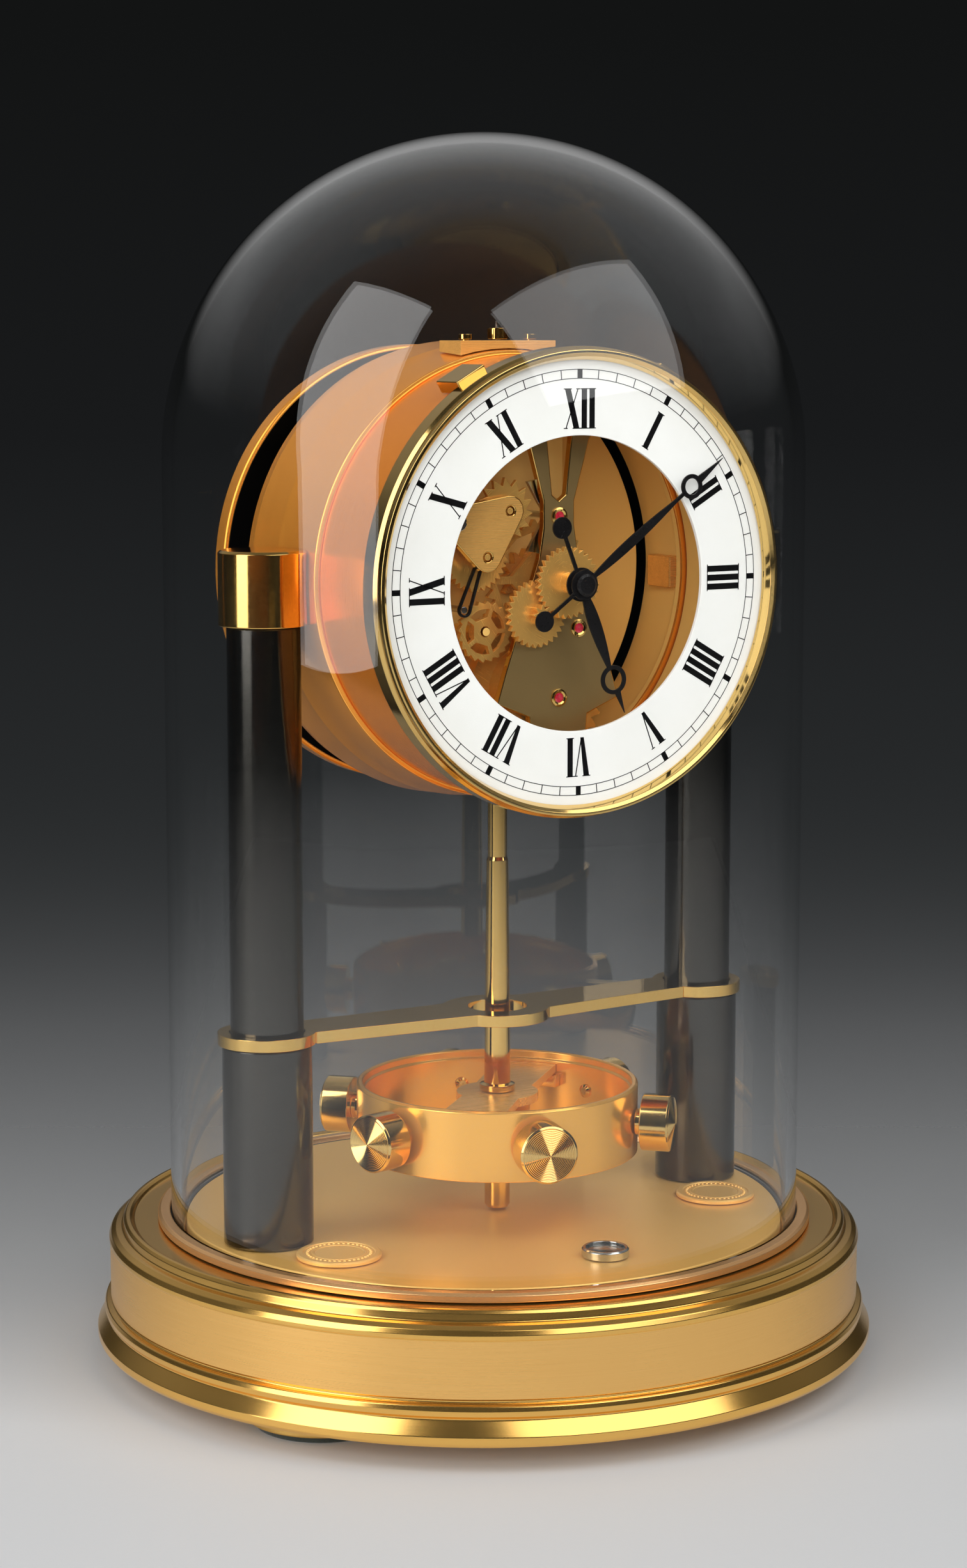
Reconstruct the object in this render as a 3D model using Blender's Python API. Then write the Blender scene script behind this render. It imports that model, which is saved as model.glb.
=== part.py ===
# A torsion-pendulum table clock under a glass dome. Metres, +Z up, the dial faces -Y.
# The origin is on the base's axis, at the height of the surface that the feet stand on.
import math

import bmesh
import bpy

for item in list(bpy.data.objects):
    bpy.data.objects.remove(item, do_unlink=True)

MM = 0.001
GAP = 0.3 * MM
FINE_GAP = 0.2 * MM

# Base
FLANGE_RADIUS = 95 * MM
BASE_CLEARANCE = 6.4 * MM
DECK_HEIGHT = 36.5 * MM
DECK_THICKNESS = 3 * MM
DECK_MARGIN = 22 * MM
DECK_RADIUS = FLANGE_RADIUS - DECK_MARGIN
BASE_WALL = 3.2 * MM
SEAT_DROP = 1.9 * MM
FLOOR_THICKNESS = 2 * MM
BOSS_RADIUS = 7 * MM

# Feet
FOOT_MARGIN = 34 * MM
FRONT_FOOT_X = FLANGE_RADIUS - FOOT_MARGIN
FRONT_FOOT_Y = -30 * MM
REAR_FOOT_MARGIN = 33 * MM
REAR_FOOT_Y = FLANGE_RADIUS - REAR_FOOT_MARGIN
FOOT_DISC_RADIUS = 18 * MM
REAR_FOOT_RADIUS = 12 * MM
FOOT_DISC_TOP = 4.6 * MM
FOOT_PAD_THICKNESS = 1.5 * MM
FOOT_STEM_RADIUS = 4 * MM
FOOT_STEM_TOP = 26 * MM
FOOT_CAP_MARGIN = 20 * MM
FOOT_CAP_X = DECK_RADIUS - FOOT_CAP_MARGIN
FOOT_CAP_Y = -24 * MM
FOOT_CAP_RADIUS = 9.8 * MM
FOOT_CAP_HEIGHT = 1.2 * MM
CAP_SHANK_RADIUS = 2.7 * MM

# Dome
DOME_MARGIN = 18.3 * MM
DOME_RADIUS = FLANGE_RADIUS - DOME_MARGIN
DOME_RISE = 103.8 * MM
DOME_WALL = 2.5 * MM
RIM_WIDTH = 3 * MM
RIM_HEIGHT = 2.4 * MM
SEAL_THICKNESS = 0.8 * MM

# Columns and the strap across them
COLUMN_MARGIN = 15.9 * MM
COLUMN_X = DOME_RADIUS - COLUMN_MARGIN
COLUMN_Y = -4 * MM
LOWER_COLUMN_RADIUS = 10.3 * MM
UPPER_COLUMN_RADIUS = 8.4 * MM
TENON_RADIUS = 5 * MM
TENON_LENGTH = 9.5 * MM
STRAP_BOTTOM = 84.5 * MM
STRAP_THICKNESS = 2.8 * MM
STRAP_END_WALL = 2.6 * MM
STRAP_HALF_WIDTH = 6.7 * MM
STRAP_FLARE = 2 * MM
STRAP_BOSS_RADIUS = 13 * MM
STRAP_HOLE_RADIUS = 7.25 * MM
COLLAR_RADIUS = 10.1 * MM
COLLAR_HEIGHT = 17.4 * MM
COLLAR_DROP = 9.6 * MM

# Drum of the movement. Depths run forwards from the base's axis, towards the dial.
DIAL_HEIGHT = 192.2 * MM
DRUM_MARGIN = 5.8 * MM
CAN_RADIUS = COLUMN_X - DRUM_MARGIN
CAN_TAPER = 2.2 * MM
CAN_WALL = 2.5 * MM
CAN_FRONT = 14 * MM
CAN_BACK = -20 * MM
CAN_FLANGE_WIDTH = 7 * MM
CAN_FLANGE_RADIUS = CAN_RADIUS - CAN_FLANGE_WIDTH
SHOULDER_LENGTH = 6 * MM
PASSAGE_REACH = 12 * MM
PASSAGE_PROUD = 5 * MM
LID_STEP = 1 * MM
LID_RADIUS = CAN_RADIUS - LID_STEP
LID_GAP = 11.5 * MM
LID_THICKNESS = 7 * MM
LID_FLOOR = 3 * MM
NECK_INSET = 9.4 * MM
NECK_RADIUS = CAN_RADIUS - NECK_INSET
NECK_WALL = 2.4 * MM
CASING_STEP = 1 * MM
CASING_RADIUS = CAN_RADIUS - CAN_TAPER - CASING_STEP
CASING_WALL = 2.5 * MM
BACK_PLATE_RADIUS = CASING_RADIUS - CASING_WALL - GAP

# The movement's sizes across the dial are in shares of its round plate: the radius has 49 of them.
UNIT = BACK_PLATE_RADIUS / 49

# Bellows
BELLOWS_CLEARANCE = 1.2 * MM
BELLOWS_RADIUS = NECK_RADIUS - NECK_WALL - BELLOWS_CLEARANCE
BELLOWS_FOLD = 5 * MM
BELLOWS_FOLDS = 4
BELLOWS_SKIN = 0.9 * MM
BELLOWS_PLATE_DEPTH = -8 * MM
BELLOWS_PLATE_THICKNESS = 2.6 * MM
BELLOWS_PLATE_CLEARANCE = 3 * MM
BELLOWS_PLATE_RADIUS = CAN_RADIUS - CAN_WALL - BELLOWS_PLATE_CLEARANCE
PUSH_ROD_RADIUS = 1.5 * MM
PUSH_ROD_TIP = 22 * MM
PUSH_ROD_X = -25.5 * UNIT

# Dial
DIAL_DEPTH = 42.6 * MM
DIAL_THICKNESS = 1 * MM
DIAL_INNER_RADIUS = 33.9 * UNIT
BEZEL_WIDTH = 3.2 * MM
BEZEL_OVERHANG = 2.2 * MM
BEZEL_RADIUS = CASING_RADIUS + BEZEL_OVERHANG
BEZEL_LIP_RADIUS = BEZEL_RADIUS - BEZEL_WIDTH
BEZEL_HEIGHT = 7.5 * MM
BEZEL_RISE = 3.4 * MM
LUG_WIDTH = 8 * MM
LUG_LENGTH = 8 * MM
LUG_HEIGHT = 3.2 * MM
LUG_ANGLE = math.radians(29.5)

# Hands
HAND_THICKNESS = 0.5 * MM
HAND_STEP = 1.4 * MM
HAND_CLEARANCE = 0.7 * MM
HOUR_LENGTH = 32.6 * UNIT
HOUR_RING = 24.1 * UNIT
HOUR_TAIL = 14.1 * UNIT
MINUTE_LENGTH = 47.3 * UNIT
MINUTE_RING = 36.4 * UNIT
MINUTE_TAIL = 13.3 * UNIT
HOUR_RING_RADIUS = 3.4 * MM
MINUTE_RING_RADIUS = 2.9 * MM
HAND_RING_WALL = 1 * MM
HOUR_TAIL_RADIUS = 2.5 * MM
MINUTE_TAIL_RADIUS = 2.4 * MM
HOUR_HUB_RADIUS = 3.9 * MM
MINUTE_HUB_RADIUS = 3.5 * MM
HOUR_LEAF = 1.6 * MM
MINUTE_LEAF = 1.2 * MM
HAND_STEM = 0.45 * MM
SPEAR_HALF_WIDTH = 1.2 * MM
HAND_NUT_RADIUS = 2.6 * MM
HOUR_ANGLE = math.radians(158.4)
MINUTE_ANGLE = math.radians(53.5)

# Movement plates
PLATE_THICKNESS = 2 * MM
FRONT_PLATE_DEPTH = 34 * MM
PILLAR_RADIUS = 2.4 * UNIT
PIVOT_RADIUS = 0.8 * MM
PIVOT_CLEARANCE = 0.3 * MM
BACK_PLATE_EDGE = 12 * UNIT

# Gear train: tooth counts and centre distances
BARREL_TEETH = 42
CENTRE_PINION_TEETH = 12
BARREL_DISTANCE = 27 * UNIT
BARREL_CAP_RADIUS = 12.2 * UNIT
CENTRE_TEETH = 32
THIRD_PINION_TEETH = 16
THIRD_DISTANCE = 20 * UNIT
THIRD_ANGLE = math.radians(161.6)
THIRD_TEETH = 32
ESCAPE_PINION_TEETH = 16
ESCAPE_DISTANCE = 12 * UNIT
ESCAPE_ANGLE = math.radians(60)
ESCAPE_TEETH = 15
ESCAPE_RADIUS = 7.6 * UNIT
CANNON_TEETH = 10
MINUTE_TEETH = 30
MINUTE_PINION_TEETH = 8
HOUR_TEETH = 32
MOTION_DISTANCE = 10 * UNIT
MOTION_ANGLE = math.radians(225)
LEVER_RISE = 15.1 * UNIT
LEVER_LENGTH = 22.8 * UNIT
WINDING_X = -17 * UNIT
WINDING_DROP = 11.2 * UNIT
WINDING_TEETH = 20
WINDING_RADIUS = 7.2 * UNIT
WINDING_BORE = 1.3 * MM
CRANK_X = -23.5 * UNIT
CRANK_DROP = 5.8 * UNIT
CRANK_LENGTH = 9.5 * UNIT
BRIDGE_PILLAR_X = -27 * UNIT
BRIDGE_PILLAR_RISE = 14.5 * UNIT
WHEEL_THICKNESS = 1.4 * MM

# Pendulum
PENDULUM_Y = -6.5 * MM
TUBE_RADIUS = 2.35 * MM
TUBE_FOOT_RADIUS = 3.2 * MM
TUBE_DROP = 6.2 * MM
TUBE_TOP = DIAL_HEIGHT - TUBE_DROP
TUBE_STEP = 124 * MM
TUBE_BORE = 1 * MM
ROLLER_RADIUS = 4.5 * MM
RING_MARGIN = 26.55 * MM
RING_RADIUS = COLUMN_X - RING_MARGIN
RING_WALL = 2.05 * MM
RING_BOTTOM = 52 * MM
RING_HEIGHT = 17 * MM
CROSSBAR_DROP = 2.8 * MM
CROSSBAR_THICKNESS = 2.2 * MM
CROSSBAR_HUB = 10 * MM
CROSSBAR_HALF_WIDTH = 7 * MM
CROSSBAR_ANGLE = math.radians(45.3)
HUB_FLANGE_RADIUS = 8 * MM
HUB_FLANGE_HEIGHT = 2.2 * MM
HUB_RADIUS = 3.1 * MM
HUB_CLEARANCE = 0.7 * MM
WEIGHT_COUNT = 6
WEIGHT_RADIUS = 6.9 * MM
WEIGHT_LENGTH = 9 * MM
WEIGHT_NECK_RADIUS = 3.2 * MM
WEIGHT_ANGLE = math.radians(15.3)

# Suspension on top of the drum
SADDLE_HALF_LENGTH = 13 * MM
SADDLE_HALF_WIDTH = 5 * MM
SADDLE_RISE = 1.7 * MM
SADDLE_SCREW_X = 8.9 * MM
SCREW_HEAD_RADIUS = 1.6 * MM
SCREW_SHANK_RADIUS = 0.9 * MM
SCREW_HEAD_HEIGHT = 1.2 * MM
NUT_RADIUS = 2.3 * MM
NUT_HEIGHT = 2.6 * MM
HANGER_RADIUS = 0.65 * MM
HANGER_LENGTH = 11 * MM
WIRE_RADIUS = 0.25 * MM

# Spirit level
LEVEL_MARGIN = 18 * MM
LEVEL_Y = LEVEL_MARGIN - DECK_RADIUS
LEVEL_RADIUS = 5.5 * MM
LEVEL_HEIGHT = 2.1 * MM
LEVEL_FLOOR = 0.6 * MM
LEVEL_WALL = 1 * MM

# Heights and depths that follow from the sizes above
SEAT_HEIGHT = DECK_HEIGHT - SEAT_DROP
DOME_FOOT = SEAT_HEIGHT + SEAL_THICKNESS + 2 * GAP
DOME_TOP = DIAL_HEIGHT + DOME_RISE
STRAP_TOP = STRAP_BOTTOM + STRAP_THICKNESS
COLLAR_BOTTOM = DIAL_HEIGHT - COLLAR_DROP
COLLAR_TOP = COLLAR_BOTTOM + COLLAR_HEIGHT
LID_FRONT = CAN_BACK - LID_GAP
CASING_BACK = CAN_FRONT + GAP
CASING_FRONT = DIAL_DEPTH - DIAL_THICKNESS - GAP
BACK_PLATE_BACK = CASING_BACK
BACK_PLATE_FRONT = BACK_PLATE_BACK + PLATE_THICKNESS
FRONT_PLATE_BACK = FRONT_PLATE_DEPTH - PLATE_THICKNESS
BEZEL_FRONT = DIAL_DEPTH + BEZEL_RISE
CAN_SHOULDER = CAN_BACK + SHOULDER_LENGTH
PIVOT_END = FRONT_PLATE_DEPTH - FINE_GAP
PIVOT_START = BACK_PLATE_BACK + FINE_GAP
HOUR_HAND_DEPTH = DIAL_DEPTH + HAND_CLEARANCE
MINUTE_HAND_DEPTH = HOUR_HAND_DEPTH + HAND_STEP
CROSSBAR_TOP = RING_BOTTOM + RING_HEIGHT - CROSSBAR_DROP


# The drum narrows towards the dial: its outer radius at a depth.
def can_radius(depth):
    return CAN_RADIUS - CAN_TAPER * (depth - CAN_SHOULDER) / (CAN_FRONT - CAN_SHOULDER)


CAN_CROWN = DIAL_HEIGHT + can_radius(-PENDULUM_Y)
SADDLE_TOP = CAN_CROWN + SADDLE_RISE


def polar(radius, angle):
    return radius * math.cos(angle), radius * math.sin(angle)


def shifted(points, dx, dy):
    return [(x + dx, y + dy) for x, y in points]


def circle(radius, count, at=(0, 0), phase=0.0):
    return shifted([polar(radius, phase + math.tau * i / count) for i in range(count)], *at)


def arc(centre, radius, start, end, count):
    angles = [start + (end - start) * i / count for i in range(count + 1)]
    return shifted([polar(radius, angle) for angle in angles], *centre)


# Arbor places in the dial's plane, as (x, height above the dial's centre)
CENTRE = (0.0, 0.0)
BARREL = (0.0, -BARREL_DISTANCE)
THIRD = polar(THIRD_DISTANCE, THIRD_ANGLE)
ESCAPE = shifted([polar(ESCAPE_DISTANCE, ESCAPE_ANGLE)], *THIRD)[0]
MOTION = polar(MOTION_DISTANCE, MOTION_ANGLE)
LEVER = (0.0, LEVER_RISE)
WINDING = (WINDING_X, -WINDING_DROP)
BRIDGE_PILLAR = (BRIDGE_PILLAR_X, BRIDGE_PILLAR_RISE)
LOWER_PILLAR = (20.5 * UNIT, -41.7 * UNIT)
UPPER_PILLAR = (8 * UNIT, 37 * UNIT)
CRANK = (CRANK_X, -CRANK_DROP)
PUSH_ROD = (PUSH_ROD_X, -WINDING_DROP)


def finish(name, colour, roughness, metallic, alpha=1.0):
    material = bpy.data.materials.new(name)
    material.use_nodes = True
    shader = material.node_tree.nodes["Principled BSDF"]
    shader.inputs["Base Color"].default_value = (*colour, 1.0)
    shader.inputs["Roughness"].default_value = roughness
    shader.inputs["Metallic"].default_value = metallic
    shader.inputs["Alpha"].default_value = alpha
    return material


POLISHED_BRASS = finish("polished_brass", (0.86, 0.60, 0.24), 0.12, 1.0)
BRUSHED_BRASS = finish("brushed_brass", (0.70, 0.50, 0.22), 0.35, 1.0)
COPPER_BRASS = finish("copper_brass", (0.85, 0.42, 0.17), 0.2, 1.0)
GUNMETAL = finish("gunmetal", (0.22, 0.21, 0.20), 0.18, 1.0)
STEEL = finish("steel", (0.62, 0.62, 0.64), 0.2, 1.0)
BLACK_LACQUER = finish("black_lacquer", (0.012, 0.012, 0.014), 0.35, 0.0)
WHITE_ENAMEL = finish("white_enamel", (0.92, 0.92, 0.90), 0.3, 0.0)
CLEAR_GLASS = finish("clear_glass", (0.95, 0.97, 0.97), 0.03, 0.0, 0.2)
BLACK_RUBBER = finish("black_rubber", (0.02, 0.02, 0.02), 0.8, 0.0)
DARK_FELT = finish("dark_felt", (0.04, 0.05, 0.04), 0.95, 0.0)

FORWARD = (math.pi / 2, 0.0, 0.0)


def pivot(name, at):
    empty = bpy.data.objects.new(name, None)
    empty.location = at
    bpy.context.scene.collection.objects.link(empty)
    return empty


def make_object(name, bm, surface, at, turn, parent):
    bmesh.ops.remove_doubles(bm, verts=bm.verts[:], dist=1e-6)
    bmesh.ops.recalc_face_normals(bm, faces=bm.faces[:])
    mesh = bpy.data.meshes.new(name)
    bm.to_mesh(mesh)
    bm.free()
    mesh.shade_smooth()
    mesh.set_sharp_from_angle(angle=math.radians(35))
    thing = bpy.data.objects.new(name, mesh)
    bpy.context.scene.collection.objects.link(thing)
    if surface:
        mesh.materials.append(surface)
    else:
        thing.hide_render = True
        thing.display_type = "WIRE"
    thing.location = at
    thing.rotation_euler = turn
    if parent:
        thing.parent = parent
        thing.location = [a - b for a, b in zip(at, parent.location)]
    return thing


# A solid of revolution: a closed outline of (radius, height) turned about the local Z axis.
def turned(name, outline, surface, at=(0, 0, 0), turn=(0, 0, 0), steps=48, parent=None):
    bm = bmesh.new()
    verts = [bm.verts.new((radius, 0, height)) for radius, height in outline]
    pairs = zip(outline, outline[1:] + outline[:1], verts, verts[1:] + verts[:1])
    edges = [bm.edges.new((a, b)) for p, q, a, b in pairs if p[0] > 0 or q[0] > 0]
    bmesh.ops.spin(
        bm, geom=verts + edges, cent=(0, 0, 0), axis=(0, 0, 1), dvec=(0, 0, 0),
        angle=math.tau, steps=steps, use_merge=True, use_duplicate=False,
    )
    return make_object(name, bm, surface, at, turn, parent)


# A flat plate: a closed outline with holes, both lists of (x, y), raised from low to high.
def plate(name, outline, holes, low, high, surface, at=(0, 0, 0), turn=(0, 0, 0), parent=None):
    bm = bmesh.new()
    for loop in [outline, *holes]:
        verts = [bm.verts.new((x, y, low)) for x, y in loop]
        for a, b in zip(verts, verts[1:] + verts[:1]):
            bm.edges.new((a, b))
    bmesh.ops.triangle_fill(bm, use_beauty=True, use_dissolve=False, edges=bm.edges[:])
    raised = bmesh.ops.extrude_face_region(bm, geom=bm.faces[:], use_keep_orig=True)
    moved = [item for item in raised["geom"] if isinstance(item, bmesh.types.BMVert)]
    bmesh.ops.translate(bm, verts=moved, vec=(0, 0, high - low))
    return make_object(name, bm, surface, at, turn, parent)


def rod(name, radius, low, high, surface, at=(0, 0, 0), turn=(0, 0, 0), steps=16, parent=None):
    outline = [(0, low), (radius, low), (radius, high), (0, high)]
    return turned(name, outline, surface, at, turn, steps, parent)


def combine(target, operation, *tools):
    for tool in tools:
        step = target.modifiers.new(tool.name, "BOOLEAN")
        step.operation = operation
        step.solver = "EXACT"
        step.object = tool


def forward_place(spot=CENTRE):
    return spot[0], 0.0, DIAL_HEIGHT + spot[1]


# Tapered teeth about a pitch circle, with room at the flanks to turn freely.
def gear_outline(teeth, module, phase):
    pitch = math.tau / teeth
    root = module * (teeth / 2 - 1.3)
    tip = module * (teeth / 2 + 0.72)
    points = []
    for i in range(teeth):
        middle = phase + i * pitch
        for radius, share in ((root, -0.5), (tip, -0.07), (tip, 0.07)):
            points.append(polar(radius, middle + share * pitch))
    return points


def ratchet_outline(teeth, tip, depth):
    points = []
    for i in range(teeth):
        points.append(polar(tip - depth, math.tau * i / teeth))
        points.append(polar(tip, math.tau * (i + 0.75) / teeth))
    return points


# Openings between a wheel's rim and hub, leaving count straight arms.
def arm_windows(rim, hub, count, arm):
    windows = []
    for i in range(count):
        start, end = math.tau * i / count, math.tau * (i + 1) / count
        outer = arc((0, 0), rim, start + arm / rim, end - arm / rim, 3)
        inner = arc((0, 0), hub, end - arm / hub, start + arm / hub, 1)
        windows.append(outer + inner)
    return windows


def meshing(first, second, first_teeth, second_teeth, distance):
    angle = math.atan2(second[1] - first[1], second[0] - first[0])
    module = 2 * distance / (first_teeth + second_teeth)
    first_phase = angle
    second_phase = angle + math.pi + math.pi / second_teeth
    return module, first_phase, second_phase


def build_base():
    low = BASE_CLEARANCE
    seat = SEAT_HEIGHT
    big = FLANGE_RADIUS
    band = big - 3.3 * MM
    inner = band - BASE_WALL
    bore = DECK_RADIUS + GAP + 0.1 * MM
    ledge = DECK_HEIGHT - DECK_THICKNESS - GAP
    under = ledge - 2.2 * MM
    outline = [
        (inner, low), (big - 0.7 * MM, low), (big, low + 0.9 * MM), (big, low + 2.5 * MM),
        (big - 0.5 * MM, low + 3.2 * MM), (big - 2.5 * MM, low + 5.9 * MM), (big - 1.9 * MM, low + 6.6 * MM),
        (big - 1.7 * MM, low + 7.8 * MM), (big - 2.1 * MM, low + 8.9 * MM), (band - 0.3 * MM, low + 9.3 * MM),
        (band - 0.3 * MM, low + 9.9 * MM), (band, low + 10.1 * MM), (band, seat - 4.8 * MM),
        (band + 0.25 * MM, seat - 4.4 * MM), (band + 0.25 * MM, seat - 3.5 * MM), (band - 0.3 * MM, seat - 2.4 * MM),
        (band - 1.4 * MM, seat - 1.6 * MM), (band - 3 * MM, seat - 1.3 * MM), (band - 3.3 * MM, seat + 0.5 * MM),
        (band - 3.9 * MM, seat + 1.2 * MM), (band - 4.8 * MM, seat + 1.3 * MM), (band - 5.5 * MM, seat + 0.7 * MM),
        (band - 5.9 * MM, seat),
        (bore, seat), (bore, ledge), (bore - 3.4 * MM, ledge), (bore - 3.4 * MM, under), (inner, under),
    ]
    turned("base_body", outline, POLISHED_BRASS, steps=44)

    holes = [circle(CAP_SHANK_RADIUS + GAP, 10, spot) for spot in foot_caps()]
    holes += [circle(TENON_RADIUS, 12, (x, COLUMN_Y)) for x in (-COLUMN_X, COLUMN_X)]
    plate("base_deck", circle(DECK_RADIUS, 40), holes, DECK_HEIGHT - DECK_THICKNESS, DECK_HEIGHT,
          POLISHED_BRASS)

    floor_low = low + GAP
    floor_high = floor_low + FLOOR_THICKNESS
    stem_hole = FOOT_STEM_RADIUS + GAP
    spots = [*front_feet(), (0, REAR_FOOT_Y)]
    floor = plate("base_floor", circle(inner - GAP, 40), [], floor_low, floor_high, BRUSHED_BRASS)
    boss_low, boss_high = floor_high - 0.5 * MM, FOOT_STEM_TOP + 1.5 * MM
    for index, (x, y) in enumerate(spots):
        boss = rod(f"boss_{index}", BOSS_RADIUS, boss_low, boss_high, None, at=(x, y, 0), steps=12)
        hole = rod(f"stem_hole_{index}", stem_hole, 0, boss_high + 5 * MM, None, at=(x, y, 0), steps=12)
        combine(floor, "UNION", boss)
        combine(floor, "DIFFERENCE", hole)


def front_feet():
    return (-FRONT_FOOT_X, FRONT_FOOT_Y), (FRONT_FOOT_X, FRONT_FOOT_Y)


def foot_caps():
    return (-FOOT_CAP_X, FOOT_CAP_Y), (FOOT_CAP_X, FOOT_CAP_Y)


def foot_outline(bottom, radius):
    return [
        (0, bottom), (radius, bottom), (radius, FOOT_DISC_TOP - 0.6 * MM), (radius - 0.6 * MM, FOOT_DISC_TOP),
        (FOOT_STEM_RADIUS, FOOT_DISC_TOP), (FOOT_STEM_RADIUS, FOOT_STEM_TOP), (0, FOOT_STEM_TOP),
    ]


def build_feet():
    for side, (x, y) in zip(("left", "right"), front_feet()):
        axis = pivot(f"{side}_foot_axis", (x, y, 0))
        rod(f"{side}_foot_pad", FOOT_DISC_RADIUS - 2 * MM, 0, FOOT_PAD_THICKNESS, DARK_FELT,
            at=(x, y, 0), steps=20, parent=axis)
        turned(f"{side}_foot_screw", foot_outline(FOOT_PAD_THICKNESS + GAP, FOOT_DISC_RADIUS), BRUSHED_BRASS,
               at=(x, y, 0), steps=20, parent=axis)
    turned("rear_foot", foot_outline(0, REAR_FOOT_RADIUS), BRUSHED_BRASS, at=(0, REAR_FOOT_Y, 0), steps=20)
    for side, (x, y) in zip(("left", "right"), foot_caps()):
        head = DECK_HEIGHT + GAP
        top = head + FOOT_CAP_HEIGHT
        tip = DECK_HEIGHT - DECK_THICKNESS - 1.5 * MM
        cap = [
            (0, tip), (CAP_SHANK_RADIUS, tip), (CAP_SHANK_RADIUS, head), (FOOT_CAP_RADIUS, head),
            (FOOT_CAP_RADIUS, top), (FOOT_CAP_RADIUS * 0.8, top), (FOOT_CAP_RADIUS * 0.75, top - 0.4 * MM),
            (0, top - 0.4 * MM),
        ]
        turned(f"{side}_foot_cap", cap, POLISHED_BRASS, at=(x, y, 0), steps=20)


def build_dome():
    lift = pivot("dome_lift", (0, 0, DOME_FOOT))
    inner = DOME_RADIUS - DOME_WALL
    middle = (0, DOME_TOP - DOME_RADIUS)
    outline = [(inner, DOME_FOOT), (DOME_RADIUS, DOME_FOOT)]
    outline += arc(middle, DOME_RADIUS, 0, math.pi / 2, 7)[:-1] + [(0, DOME_TOP)]
    outline += [(0, DOME_TOP - DOME_WALL)] + arc(middle, inner, math.pi / 2, 0, 7)[1:]
    turned("glass_dome", outline, CLEAR_GLASS, steps=40, parent=lift)

    rim_inner = DOME_RADIUS + GAP
    rim_outer = rim_inner + RIM_WIDTH
    rim_top = DOME_FOOT + RIM_HEIGHT
    rim = [(rim_inner, DOME_FOOT), (rim_outer, DOME_FOOT), (rim_outer, rim_top), (rim_inner, rim_top)]
    turned("dome_rim", rim, COPPER_BRASS, steps=40, parent=lift)

    low = SEAT_HEIGHT + GAP
    seal = [(inner, low), (rim_outer, low), (rim_outer, low + SEAL_THICKNESS), (inner, low + SEAL_THICKNESS)]
    turned("dome_seal", seal, BLACK_RUBBER, steps=40)


# The drum's outside grown by the gap: what rests against the drum is cut to fit it.
def drum_cutter(name):
    big = CAN_RADIUS + GAP
    front = CAN_FRONT + 5 * MM
    outline = [(0, CAN_BACK - 5 * MM), (big, CAN_BACK - 5 * MM), (big, CAN_SHOULDER),
               (can_radius(front) + GAP, front), (0, front)]
    return turned(name, outline, None, at=forward_place(), turn=FORWARD, steps=72)


def build_columns():
    fit = drum_cutter("column_fit")
    tenon = TENON_RADIUS - GAP
    low, step, top = DECK_HEIGHT + GAP, STRAP_BOTTOM - GAP, COLLAR_BOTTOM - GAP
    big, small = LOWER_COLUMN_RADIUS, UPPER_COLUMN_RADIUS
    column = [
        (0, DECK_HEIGHT - DECK_THICKNESS), (tenon, DECK_HEIGHT - DECK_THICKNESS), (tenon, low),
        (big, low), (big, step), (small, step), (small, top), (tenon, top), (tenon, top + TENON_LENGTH), (0, top + TENON_LENGTH),
    ]
    blind = top + TENON_LENGTH + GAP
    collar = [
        (TENON_RADIUS, COLLAR_BOTTOM), (COLLAR_RADIUS, COLLAR_BOTTOM), (COLLAR_RADIUS, COLLAR_TOP - 0.5 * MM),
        (COLLAR_RADIUS - 0.5 * MM, COLLAR_TOP), (0, COLLAR_TOP), (0, blind), (TENON_RADIUS, blind),
    ]
    for side, x in (("left", -COLUMN_X), ("right", COLUMN_X)):
        spot = (x, COLUMN_Y, 0)
        combine(turned(f"{side}_column", column, GUNMETAL, at=spot, steps=20), "DIFFERENCE", fit)
        combine(turned(f"{side}_collar", collar, POLISHED_BRASS, at=spot, steps=20), "DIFFERENCE", fit)


# Half a round's width at a distance along it, or none beyond its edge.
def chord(radius, offset):
    return math.sqrt(max(0.0, radius**2 - offset**2))


# The strap's two edges at a place along it: a bar flared to a boss, with round ends.
def strap_edges(x):
    far = abs(x)
    end = UPPER_COLUMN_RADIUS + GAP + STRAP_END_WALL
    bar = STRAP_HALF_WIDTH + STRAP_FLARE * (1 - far / COLUMN_X) ** 2 if far < COLUMN_X else 0.0
    width = max(bar, chord(end, far - COLUMN_X))
    boss = chord(STRAP_BOSS_RADIUS, far)
    high, low = COLUMN_Y + width, COLUMN_Y - width
    if boss:
        high, low = max(high, PENDULUM_Y + boss), min(low, PENDULUM_Y - boss)
    return low, high


def build_strap():
    hole = UPPER_COLUMN_RADIUS + GAP
    end = hole + STRAP_END_WALL
    stations = [COLUMN_X + end * math.cos(math.pi * i / 12) for i in range(10)]
    stations += [COLUMN_X * share for share in (0.6, 0.4, 0.27)]
    stations += [STRAP_BOSS_RADIUS * share for share in (0.95, 0.8, 0.5, 0.17)]
    stations += [-x for x in reversed(stations)]
    upper = [(x, strap_edges(x)[1]) for x in stations]
    lower = [(x, strap_edges(x)[0]) for x in reversed(stations)]
    holes = [circle(hole, 20, (x, COLUMN_Y)) for x in (-COLUMN_X, COLUMN_X)]
    holes.append(circle(STRAP_HOLE_RADIUS, 16, (0, PENDULUM_Y)))
    plate("cross_strap", upper + lower[1:-1], holes, STRAP_BOTTOM, STRAP_TOP, POLISHED_BRASS)


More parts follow.
